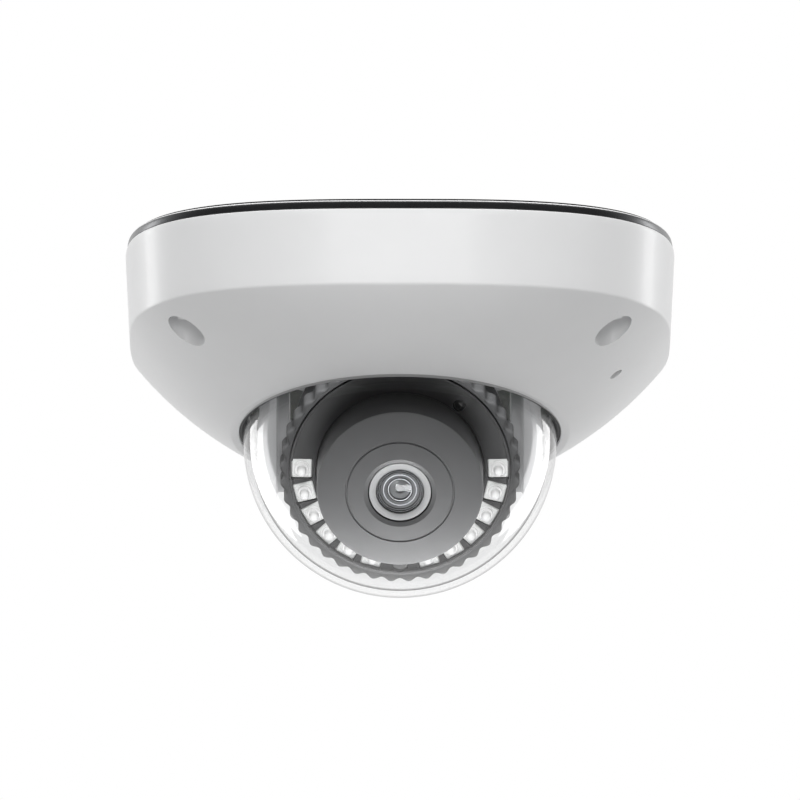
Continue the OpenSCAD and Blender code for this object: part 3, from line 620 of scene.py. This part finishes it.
def base_plate():
    inner_half, foot_z = HALF_W - WALL - 0.8, FLOOR_Z + 0.2
    pillar_r, bearing_post_r, board_post_r = 4.2, 3.0, 2.4
    cover_thread_r, bearing_thread_r, board_thread_r = 1.5, 1.1, 0.9
    rings = [level(RIM_HALF - 1.2, -PAD_TH)] + rim_edge()
    rings += low_rounding(RIM_HALF, RIM_Z, 0.12)
    rings += [level(HALF_W - 1.9, RIM_Z), level(inner_half, RIM_Z)]
    rings += low_rounding(inner_half, FLOOR_Z, 0.3)
    plate = loft("base_look", rings)
    bearing_spots = [polar(BEARING_POST_AT, 45 + 90 * i) for i in range(4)]
    board_spots = [polar(BOARD_POST_AT, 90 * i) for i in range(4)]
    pillars = joined("pillars", [
        spots("screw_pillars", SCREW_SPOTS, rod(pillar_r, BOSS_TOP, foot_z), ease=0.3),
        spots("bearing_posts", bearing_spots, rod(bearing_post_r, BEARING_POST_END, foot_z), ease=0.3),
        spots("board_posts", board_spots, rod(board_post_r, BOARD_POST_END, foot_z), ease=0.2)])
    combine(plate, pillars, "UNION")
    holes = joined("holes", [
        spots("ceiling_holes", MOUNT_SPOTS, rod(MOUNT_HOLE_R, -20, 1)),
        spots("gland_hole", [(0, GLAND_Y)], rod(GLAND_R, -20, 1)),
        spots("screw_threads", SCREW_SPOTS, rod(cover_thread_r, BOSS_TOP - 1, FLOOR_Z + 1), segments=32),
        spots("bearing_threads", bearing_spots, rod(bearing_thread_r, -18, -11), segments=32),
        spots("board_threads", board_spots, rod(board_thread_r, -8, FLOOR_Z + 1), segments=32)])
    return combine(plate, holes, "DIFFERENCE")


belongs(base_plate(), "housing", "base_metal", BASE_METAL, "base_plate")


def base_edge_highlight():
    """A painted highlight round the top of the base's rim: a thin bright band over the middle of its
    rounding, standing in for the light its edge catches.
    """
    proud, sunk = 0.03, -0.15
    middle = slice(2, 7)
    return loft("base_edge_highlight_look", rim_edge(proud, 8)[middle] + rim_edge(sunk, 8)[middle][::-1], tube=True)


belongs(base_edge_highlight(), "housing", "bright_metal", EDGE_HIGHLIGHT_PAINT, "base_plate")


def ceiling_pad():
    half = HALF_W - 1.2
    hole_r, collar_r = MOUNT_HOLE_R + 1, GLAND_R + 1.2
    pad = loft("pad_look", [level(half - 1, 0)] + top_rounding(half, 0, 0.12)
               + low_rounding(half, -PAD_TH, 0.1) + [level(half - 1, -PAD_TH)])
    holes = joined("pad_holes", [spots("pad_screw_holes", MOUNT_SPOTS, rod(hole_r, -5, 1)),
                                 spots("pad_gland_hole", [(0, GLAND_Y)], rod(collar_r, -5, 1))])
    return combine(pad, holes, "DIFFERENCE")


def base_seal():
    outer, swollen, inner = HALF_W - 0.8, HALF_W - 0.75, HALF_W - 1.7
    return loft("base_seal_look", [level(outer, RIM_Z), level(swollen, (RIM_Z + COVER_TOP) / 2),
                                   level(outer, COVER_TOP), level(inner, COVER_TOP), level(inner, RIM_Z)],
                tube=True)


belongs(ceiling_pad(), "housing", "pad_foam", FOAM, "ceiling_pad")
belongs(base_seal(), "housing", "black_rubber", RUBBER, "base_seal")
CABLE_R, GLAND_FLANGE_R, GLAND_END, GLAND_FLANGE_Z = 3.0, 8.4, -8.0, -5.4
GLAND_PROFILE = [(CABLE_R, GLAND_END), (4.6, GLAND_END), (5.0, GLAND_FLANGE_Z),
                 (GLAND_FLANGE_R, GLAND_FLANGE_Z), (GLAND_FLANGE_R, FLOOR_Z), (GLAND_R, FLOOR_Z),
                 (GLAND_R, -PAD_TH), (5.4, -PAD_TH), (5.2, -0.9), (4.4, -0.9), (4.2, -PAD_TH),
                 (CABLE_R, -PAD_TH)]
belongs(turned("gland_look", [GLAND_PROFILE], Matrix.Translation((0, GLAND_Y, 0)), 96, ease=0.3),
        "housing", "black_rubber", RUBBER, "cable_gland")


# ------------------------------------------------------------------ bubble and its seal
def arc(radius, start, stop, steps):
    return [(radius * cos(radians(start + (stop - start) * k / steps)),
             radius * sin(radians(start + (stop - start) * k / steps))) for k in range(steps + 1)]


def dome_profile():
    top = FLANGE_Z + 1.6
    outer = [(max(r, 0.0), z) for r, z in arc(DOME_R, -90, 0, 64)]
    inner = [(max(r, 0.0), z) for r, z in arc(DOME_IN, 0, -90, 64)]
    flange = [(FLANGE_R - 0.2, FLANGE_Z), (FLANGE_R, FLANGE_Z + 0.2), (FLANGE_R, top - 0.2),
              (FLANGE_R - 0.2, top)]
    collar = [(DOME_R, FLANGE_Z - 0.5), (DOME_R + 0.15, FLANGE_Z - 0.1)]
    return outer + collar + flange + [(DOME_IN, top)] + inner


def dome_seal():
    """A flat gasket under the flange, and the wiper that fills the gap inside the lip."""
    inner, outer, top = DOME_R + SEAL_SQUEEZE, LIP_IN - SEAL_SQUEEZE, LEDGE + 0.01
    wiper = [(inner, LIP_RISE + 0.35), (DOME_R + 0.4, LIP_RISE + 0.15), (outer, LIP_RISE + 0.35),
             (outer, top), (inner, top)]
    return turned("dome_seal_look", [hoop(inner, FLANGE_R, LEDGE, FLANGE_Z), wiper], BUBBLE, 224)


belongs(turned("dome_look", [dome_profile()], BUBBLE, 224), "housing", "clear_bubble", CLEAR_BUBBLE,
        "dome_bubble")
belongs(dome_seal(), "housing", "black_rubber", RUBBER, "dome_seal")


# ------------------------------------------------------------------ yoke
def moulded(thing, voxel, passes):
    """Softens every edge of a solid, as a mould does."""
    mesh_again = thing.modifiers.new("mesh_again", "REMESH")
    mesh_again.mode = "VOXEL"
    mesh_again.voxel_size = voxel * MM
    applied(thing)
    relax = thing.modifiers.new("relax", "SMOOTH")
    relax.factor = 0.5
    relax.iterations = passes
    applied(thing)
    smooth(thing, 60)
    return thing


def box_of(name, x, y, z):
    """A block from pairs of lowest and highest x, y and z."""
    outline = [(x[0], y[0]), (x[1], y[0]), (x[1], y[1]), (x[0], y[1])]
    return prism(name, outline, z[0], z[1])


def yoke():
    """Two rounded cheeks cut from a ball with a neck, the ring they hang from, and the pivots' bores."""
    far, pivot_r, head_r, pad_end = 40, 2.0, 3.6, ARM_IN + 0.6
    eye = Matrix.Translation((0, 0, EYE_Z))

    def across(side):
        return eye @ Matrix.Rotation(side * pi / 2, 4, "Y")

    ball = [(max(r, 0.0), z) for r, z in arc(ARM_R, -90, 60, 60)] + [(0, ARM_R * sin(radians(60)))]
    body = turned("arm_ball", [ball], eye, 200)
    combine(body, turned("arm_neck", [rod(NECK_R, 0.0, RING_H[0] + 1)], eye, 200), "UNION")
    arms = joined("arm_blocks", [
        box_of(f"arm_block_{s}", sorted((s * ARM_IN, s * far)), (-ARM_HALF, ARM_HALF),
               (EYE_Z - ARM_R, EYE_Z + RING_H[0] + 0.6)) for s in (-1, 1)])
    combine(body, arms, "INTERSECT")
    pads = joined("arm_pads", [
        turned(f"arm_pad_{s}", [rod(GRIP_BACK - 0.3, PAD_X, pad_end)], across(s), 96) for s in (-1, 1)])
    combine(body, pads, "UNION")
    moulded(body, 0.22, 7)
    combine(body, turned("pan_ring", [hoop(RING_IN, RING_OUT, *RING_H)], eye, 200, ease=0.2), "UNION")
    bore = [(0, 0), (pivot_r, 0), (pivot_r, pad_end), (head_r, pad_end), (head_r, far), (0, far)]
    bores = joined("arm_bores", [turned(f"arm_bore_{s}", [bore], across(s), 96) for s in (-1, 1)])
    combine(body, bores, "DIFFERENCE")
    body.name = "yoke_look"
    return body


belongs(yoke(), "turntable", "grey_plastic", YOKE_PLASTIC, "yoke")


# ------------------------------------------------------------------ grip ring and lamp face
def ridge_r(a, inset=0.0):
    """The scalloped outline of the grip ring, with a hollow straight below the lens."""
    return GRIP_R - inset - RIDGE_DEPTH / 2 * (1 + cos(radians(RIDGES * (a + 90))))


def grip_ring():
    points_per_ridge = 14
    count = RIDGES * points_per_ridge

    def ridged(inset, z):
        return [(*polar(ridge_r(360 * i / count, inset), 360 * i / count), z) for i in range(count)]

    def plain(r, z):
        return [(*polar(r, 360 * i / count), z) for i in range(count)]

    bore, back_bore = FACE_R + 0.1, LAMP_R - 4.3
    rings = [plain(bore, GRIP_FRONT - 0.2), plain(bore + 0.2, GRIP_FRONT), plain(bore + 0.7, GRIP_FRONT),
             ridged(0.55, GRIP_FRONT), ridged(0.25, GRIP_FRONT - 0.06), ridged(0.06, GRIP_FRONT - 0.25),
             ridged(0, GRIP_FRONT - 0.55), ridged(0, GRIP_BACK + 0.5), ridged(0.12, GRIP_BACK + 0.15),
             ridged(0.5, GRIP_BACK), plain(back_bore, GRIP_BACK), plain(back_bore, GRIP_BACK + 1),
             plain(bore, GRIP_BACK + 1)]
    return loft("grip_look", rings, tube=True, at=LENS, sharp=40)


belongs(grip_ring(), "lens_unit", "grey_plastic", GRIP_PLASTIC, "grip_ring")


def lamp_places():
    """One frame per lamp down both sides, in the lens frame, its X axis pointing away from the lens."""
    highest = 1
    angles = [highest - i * LAMP_STEP for i in range(LAMP_COUNT)]
    return [Matrix.Rotation(radians(a), 4, "Z") @ Matrix.Translation((LAMP_R, 0, 0))
            for side in (angles, [180 - a for a in angles]) for a in side]


def at_spot(spot):
    return LENS @ Matrix.Translation((*polar(spot[0], spot[1]), 0))


def lamp_face():
    bore, rim = NOSE_R + 0.15, FACE_R - 0.6
    below, above = FACE_BACK - 1, FACE_RIM + 1
    plate = [(bore, FACE_BACK), (FACE_R, FACE_BACK), (FACE_R, FACE_RIM), (rim, FACE_RIM), (rim, FACE_FRONT),
             (bore, FACE_FRONT)]
    face = turned("lamp_face_look", [plate], LENS, 224, ease=0.14)
    windows = joined("windows", [
        prism(f"window_{i}", rounded_square(LAMP_W / 2, 0.25), below, above, LENS @ place)
        for i, place in enumerate(lamp_places())])
    combine(face, windows, "DIFFERENCE")
    rounds = joined("rounds", [turned(f"round_{i}", [rod(spot[2], below, above)], at_spot(spot), 48)
                               for i, spot in enumerate((SENSOR, STATUS))])
    return combine(face, rounds, "DIFFERENCE")


belongs(lamp_face(), "lens_unit", "lamp_mask", FACE_PLASTIC, "lamp_cover")


def lamp_bodies():
    half = LAMP_W / 2 - 0.08
    top = FACE_FRONT - 0.15
    things = []
    for i, place in enumerate(lamp_places()):
        outline, inner = rounded_square(half, 0.3), rounded_square(half - 0.2, 0.25)
        rings = [[(x, y, LAMP_Z) for x, y in outline], [(x, y, top - 0.2) for x, y in outline],
                 [(x, y, top) for x, y in inner]]
        things.append(loft(f"lamp_body_{i}", rings, at=LENS @ place, sharp=30))
    return joined("lamp_bodies_look", things)


def lamp_lenses():
    """A round foot, a step and a domed column for each lamp."""
    base, step, dome_r, dome_z = FACE_FRONT - 0.17, FACE_FRONT + 0.5, 0.95, FACE_FRONT + 1.5
    foot_r, step_r = 1.62, 1.4
    crown = [(dome_r * cos(radians(a)), dome_z + dome_r * sin(radians(a))) for a in range(0, 90, 10)]
    profile = [(0, base), (foot_r, base), (foot_r - 0.02, base + 0.1), (step_r, base + 0.2),
               (step_r, step - 0.15), (step_r - 0.15, step), (dome_r + 0.08, step + 0.03),
               (dome_r, step + 0.12)] + crown + [(0, dome_z + dome_r)]
    return joined("lamp_lenses_look", [turned(f"lamp_lens_{i}", [profile], LENS @ place, 40)
                                       for i, place in enumerate(lamp_places())])


belongs(lamp_bodies(), "lens_unit", "lamp_white", LAMP_WHITE, "lamps")
belongs(lamp_lenses(), "lens_unit", "lamp_white", LAMP_LENS, "lamps")


def light_sensor():
    """A stem and a collar round a sunk, slightly domed eye."""
    stem_r, collar_r, collar_z = 0.93, 1.27, FACE_FRONT - 1.1
    profile = [(0, LAMP_Z), (stem_r, LAMP_Z), (stem_r, collar_z), (collar_r, collar_z),
               (collar_r, FACE_FRONT - 0.35), (1.0, FACE_FRONT - 0.3), (0.9, FACE_FRONT - 0.62),
               (0.55, FACE_FRONT - 0.5), (0, FACE_FRONT - 0.45)]
    return turned("light_sensor_look", [profile], at_spot(SENSOR), 64, ease=0.08)


def status_window():
    radius = STATUS[2] - 0.02
    profile = [(0, LAMP_Z), (radius, LAMP_Z), (radius, FACE_FRONT - 0.15), (1.5, FACE_FRONT + 0.05),
               (0.8, FACE_FRONT + 0.09), (0, FACE_FRONT + 0.1)]
    return turned("status_look", [profile], at_spot(STATUS), 64)


belongs(light_sensor(), "lens_unit", "chip_black", SENSOR_BLACK, "light_sensor")
belongs(status_window(), "lens_unit", "grey_plastic", STATUS_LENS, "status_window")


# ------------------------------------------------------------------ nose and lens
BALL_R = (NOSE_R**2 + NOSE_RISE**2) / (2 * NOSE_RISE)
BALL_Z = NOSE_EDGE + NOSE_RISE - BALL_R


def nose_cap():
    """A slice of a ball with a round groove in it and a shallow dish down to the lens."""
    groove_half, groove_slope, groove_depth = 0.24, 1.8, 0.26
    dish, steps = 0.35, 110

    def face_z(r, inset=0.0):
        return BALL_Z + sqrt((BALL_R - inset) ** 2 - r * r)

    def grooved(r):
        return face_z(r) - min(groove_depth, max(0.0, groove_half - abs(r - GROOVE_R)) * groove_slope)

    radii = [LENS_HOLE_R + dish + (NOSE_R - 0.65 - LENS_HOLE_R) * k / steps for k in range(steps + 1)]
    front = [(r, grooved(r)) for r in radii]
    edge = [(NOSE_R - 0.12, face_z(NOSE_R) + 0.02), (NOSE_R, NOSE_EDGE - 0.3)]
    inner_r, rim_r, hole_z = NOSE_R - NOSE_WALL, LENS_HOLE_R + 1.5, face_z(LENS_HOLE_R)
    back = [(NOSE_R, LAMP_Z), (inner_r, LAMP_Z), (inner_r, face_z(inner_r, NOSE_WALL))]
    inside = [(rim_r, face_z(rim_r, NOSE_WALL)), (LENS_HOLE_R, face_z(LENS_HOLE_R, NOSE_WALL)),
              (LENS_R + 0.2, hole_z - 1.5), (LENS_R + 0.12, hole_z - 0.5), (LENS_R + 0.2, hole_z - 0.36)]
    return turned("nose_look", [front + edge + back + inside], LENS, 256, sharp=24)


belongs(nose_cap(), "lens_unit", "grey_plastic", NOSE_PLASTIC, "nose_cap")

BARREL_BORE, BARREL_R, BARREL_BACK = 3.0, 5.95, 5.2
BARREL_PROFILE = [(BARREL_BORE, BARREL_BACK), (BARREL_R, BARREL_BACK), (BARREL_R, LENS_FRONT - 3.3),
                  (LENS_R, LENS_FRONT - 3.0), (LENS_R, LENS_FRONT - 0.4), (GLASS_R, LENS_FRONT - 0.4),
                  (GLASS_R, LENS_FRONT - 0.75), (BARREL_BORE, LENS_FRONT - 2.6)]
belongs(turned("barrel_look", [BARREL_PROFILE], LENS, 128, ease=0.1), "lens_unit", "lens_black", LENS_BLACK,
        "lens_barrel")
TRIM_BORE = 4.66
TRIM_PROFILE = [(TRIM_BORE, LENS_FRONT - 0.4), (LENS_R - 0.15, LENS_FRONT - 0.4), (LENS_R, LENS_FRONT - 0.25),
                (LENS_R, LENS_FRONT + 0.08), (LENS_R - 0.1, LENS_FRONT + 0.19),
                (LENS_R - 0.25, LENS_FRONT + 0.2), (4.85, LENS_FRONT + 0.02), (4.7, LENS_FRONT - 0.06),
                (TRIM_BORE, LENS_FRONT - 0.2)]
belongs(turned("trim_look", [TRIM_PROFILE], LENS, 160, ease=0.04), "lens_unit", "bright_metal", BRIGHT_METAL,
        "lens_trim")


def front_glass():
    """A flat back and a front that bulges a little past the trim's inner edge."""
    steps, rim_z, bulge, back_z = 24, LENS_FRONT - 0.3, 0.38, LENS_FRONT - 0.38
    radii = [GLASS_R * k / steps for k in range(steps + 1)]
    front = [(r, rim_z + bulge * (1 - (r / GLASS_R) ** 2)) for r in reversed(radii)]
    back = [(r, back_z) for r in radii]
    return turned("glass_look", [front + back], LENS, 128, sharp=50)


belongs(front_glass(), "lens_unit", "lens_glass", LENS_GLASS, "front_glass")


def lens_inside():
    """The stepped funnel, its bright and dark rims, the second element and the pupil, behind the glass."""
    # Each step is a radius and a depth behind the lens's front.
    steps = [(4.6, 0.42), (4.42, 0.44), (4.38, 0.58), (4.1, 0.6), (4.05, 0.72), (3.5, 0.78), (3.45, 0.9),
             (2.5, 1.0), (2.46, 1.12), (2.3, 1.12), (2.3, 1.9), (2.6, 1.9), (4.6, 0.8)]
    funnel = [(r, LENS_FRONT - depth) for r, depth in steps]
    belongs(turned("lens_rings_look", [funnel], LENS, 96, sharp=20), "lens_unit", "lens_black", RING_GREY,
            "lens_barrel")
    rims = [hoop(r, r + 0.17, LENS_FRONT - depth - 0.2, LENS_FRONT - depth)
            for r, depth in ((2.25, 0.9), (3.2, 0.74))]
    belongs(turned("lens_retainer_look", rims, LENS, 96, ease=0.04), "lens_unit", "bright_metal", SCREW_STEEL,
            "lens_barrel")
    shades = [hoop(r, r + w, LENS_FRONT - 0.9, LENS_FRONT - depth)
              for r, w, depth in ((4.3, 0.16, 0.38), (3.92, 0.12, 0.55), (2.48, 0.12, 0.8))]
    belongs(turned("lens_shade_look", shades, LENS, 96, ease=0.03), "lens_unit", "lens_black", SENSOR_BLACK,
            "lens_barrel")

    def element(name, radius, depth, rise, coating):
        edge_z = LENS_FRONT - depth
        crown = [(radius * cos(radians(a)), edge_z + rise * sin(radians(a))) for a in range(0, 90, 6)]
        profile = [(0, edge_z - 0.1), (radius, edge_z - 0.1)] + crown + [(0, edge_z + rise)]
        belongs(turned(name, [profile], LENS, 64, sharp=50), "lens_unit", "lens_glass", coating,
                "lens_barrel")

    element("second_glass_look", 2.2, 1.3, 0.28, COATED_GLASS)
    element("pupil_look", 0.9, 1.05, 0.1, DARK_GLASS)


lens_inside()


# ------------------------------------------------------------------ CAD nodes that stay
STAY = {
    SCREW_STEEL: ["cover_screws", "clamp_screws", "board_screws", "pan_base_screws", "retainer_screws",
                  "tilt_pivots", "tilt_washers", "drum_clip", "drum_screws", "sensor_screws"],
    RUBBER: ["screw_o_rings", "mic_boot"],
    DARK_PLASTIC: ["dome_clamp", "tilt_holder", "module_drum", "filter_case"],
    YOKE_PLASTIC: ["pan_base", "pan_retainer"],
    BRIGHT_METAL: ["microphone", "card_slot", "capacitors", "reset_switch"],
    BOARD_GREEN: ["main_board", "sensor_board"],
    BOARD_WHITE: ["lamp_board"],
    CHIP_BLACK: ["processor", "image_sensor", "reset_button"],
    HEAT_PAD: ["heat_pad"],
    IVORY: ["cable_header", "main_flex_socket", "sensor_flex_socket", "filter_slide"],
    FILTER_GLASS: ["cut_filter", "clear_filter"],
}
for material, names in STAY.items():
    for name in names:
        mesh = frame["nodes"][name].data
        mesh.materials.clear()
        mesh.materials.append(material)


# ------------------------------------------------------------------ stage, light and camera
def floor():
    """The pale floor of the room, far below the camera on its ceiling."""
    half, depth = 15000, 4300
    plane = put("floor", [(-half, -half, 0), (half, -half, 0), (half, half, 0), (-half, half, 0)],
                [(0, 1, 2, 3)], Matrix.Translation((0, 0, -depth)))
    plane.data.materials.append(finish("floor_pale", (0.84, 0.84, 0.84), 0.7, grain=3, depth=0.0, patch=0.4,
                                       tint=0.01))
    plane.visible_glossy = False


def soft_light(name, place, size, power, size_y=None):
    """An area light aimed at the middle of the object."""
    data = bpy.data.lights.new(name, "AREA")
    data.shape = "RECTANGLE"
    data.size = size
    data.size_y = size_y or size
    data.energy = power
    light = bpy.data.objects.new(name, data)
    light.location = place
    light.rotation_mode = "QUATERNION"
    light.rotation_quaternion = (CENTRE - Vector(place)).to_track_quat("-Z", "Y")
    bpy.context.scene.collection.objects.link(light)
    return light


def surroundings():
    """Even studio light, white behind the object and dimmer round to its front."""
    world = bpy.data.worlds.new("studio")
    world.use_nodes = True
    nodes, links = world.node_tree.nodes, world.node_tree.links
    place = nodes.new("ShaderNodeTexCoord")
    split = nodes.new("ShaderNodeSeparateXYZ")
    links.new(place.outputs["Generated"], split.inputs["Vector"])
    shade = ranged(nodes, links, split.outputs["Y"], 0.12, 1.0, -0.15, 0.6)
    links.new(shade, nodes["Background"].inputs["Color"])
    nodes["Background"].inputs["Strength"].default_value = 1.0
    bpy.context.scene.world = world


CENTRE = Vector((0, 0, -0.03))
COVER = ("cover_look", "lip_look")
OUTSIDE = COVER + ("base_look", "base_edge_highlight_look", "pad_look", "base_seal_look")
CLEAR = ("dome_look",)
LAMPS = ("lamp_bodies_look", "lamp_lenses_look")
FACE = ("nose_look", "lamp_face_look", "status_look")
GLASSES = ("glass_look",)
GRIP = ("grip_look",)
YOKE = ("yoke_look",)
LENS_PARTS = ("barrel_look", "lens_rings_look", "lens_retainer_look", "lens_shade_look", "second_glass_look",
              "pupil_look")
HANGING = LAMPS + FACE + LENS_PARTS + YOKE + GRIP + ("trim_look",)


def named(label, wanted):
    """A collection of the meshes whose names pass."""
    group = bpy.data.collections.new(label)
    for thing in bpy.context.scene.objects:
        if thing.type == "MESH" and wanted(thing.name):
            group.objects.link(thing)
    return group


def lights_only(light, wanted, shaded_by=None):
    """Lets a light fall only on the meshes whose names pass. shaded_by says which cast its shadows."""
    light.light_linking.receiver_collection = named(light.name + "_lit", wanted)
    if shaded_by:
        light.light_linking.blocker_collection = named(light.name + "_shade", shaded_by)


def among(names):
    return lambda name: name in names


def inside(name):
    """Everything within the bubble and the cover, also the CAD's own pieces."""
    return name not in OUTSIDE + CLEAR + GLASSES + ("floor",)


surroundings()
floor()
# The cover and the base: from in front, above and below.
lights_only(soft_light("key_front", (0.0, -2.6, 1.6), 1.8, 42, 0.9), among(COVER))
lights_only(soft_light("middle_front", (0.0, -2.5, 0.2), 0.7, 9, 0.5), among(COVER))
lights_only(soft_light("ceiling_glow", (0.0, 0.0, 1.5), 2.4, 30), among(OUTSIDE))
lights_only(soft_light("fill_low", (0.0, -1.2, -1.6), 1.4, 8.5), among(COVER))
# What is seen through the bubble.
lights_only(soft_light("under_front", (0.0, -0.5, -1.0), 0.8, 8),
            lambda name: inside(name) and name not in GRIP)
lights_only(soft_light("under_back", (0.0, 0.38, -0.95), 0.8, 27), among(FACE))
lights_only(soft_light("lamp_glow", (0.0, -1.5, 0.6), 0.9, 16), among(LAMPS), among(LAMPS))
lights_only(soft_light("grip_glow", (0.0, -0.11, 0.02), 0.07, 0.9), among(GRIP), among(GRIP))
lights_only(soft_light("lens_glow", (-0.3, -0.9, -0.8), 0.5, 7), among(LENS_PARTS))
# Lower than this, the flat back of the front glass mirrors it and washes the lens out.
lights_only(soft_light("lens_spark", (0.04, -0.6, -0.85), 0.2, 1.5, 0.1), among(GLASSES))
# From both sides: the outside, the cheeks with what is between them, and the bubble's flanks.
for side in (-1, 1):
    lights_only(soft_light(f"side_{side + 1}", (side * 1.1, 0.75, 0.0), 0.35, 4, 0.9), among(OUTSIDE))
    lights_only(soft_light(f"cheek_{side + 1}", (side * 0.92, 0.77, -0.2), 0.9, 9, 0.9), inside,
                among(HANGING))
    lights_only(soft_light(f"cheek_front_{side + 1}", (side * 0.9, -0.7, -0.1), 0.7, 5.5), among(YOKE),
                among(YOKE))
    lights_only(soft_light(f"flank_{side + 1}", (side * 0.82, 0.88, -0.1), 0.3, 2.2, 0.9), among(CLEAR),
                among(CLEAR))


def camera(below, distance, width, aim, sensor=36):
    """A camera in front of the object, so many degrees below it, with width in metres across its picture."""
    data = bpy.data.cameras.new("camera")
    data.sensor_width = sensor
    data.lens = sensor * distance / width
    data.clip_end = 100
    back = Vector((0, -cos(radians(below)), -sin(radians(below))))
    eye = bpy.data.objects.new("camera", data)
    eye.location = aim + back * distance
    eye.rotation_mode = "QUATERNION"
    eye.rotation_quaternion = (-back).to_track_quat("-Z", "Y")
    bpy.context.scene.collection.objects.link(eye)
    bpy.context.scene.camera = eye


camera(below=11.0, distance=4.0, width=0.1603, aim=Vector((0, 0, -0.03015)))
bpy.context.scene.view_settings.view_transform = "Standard"
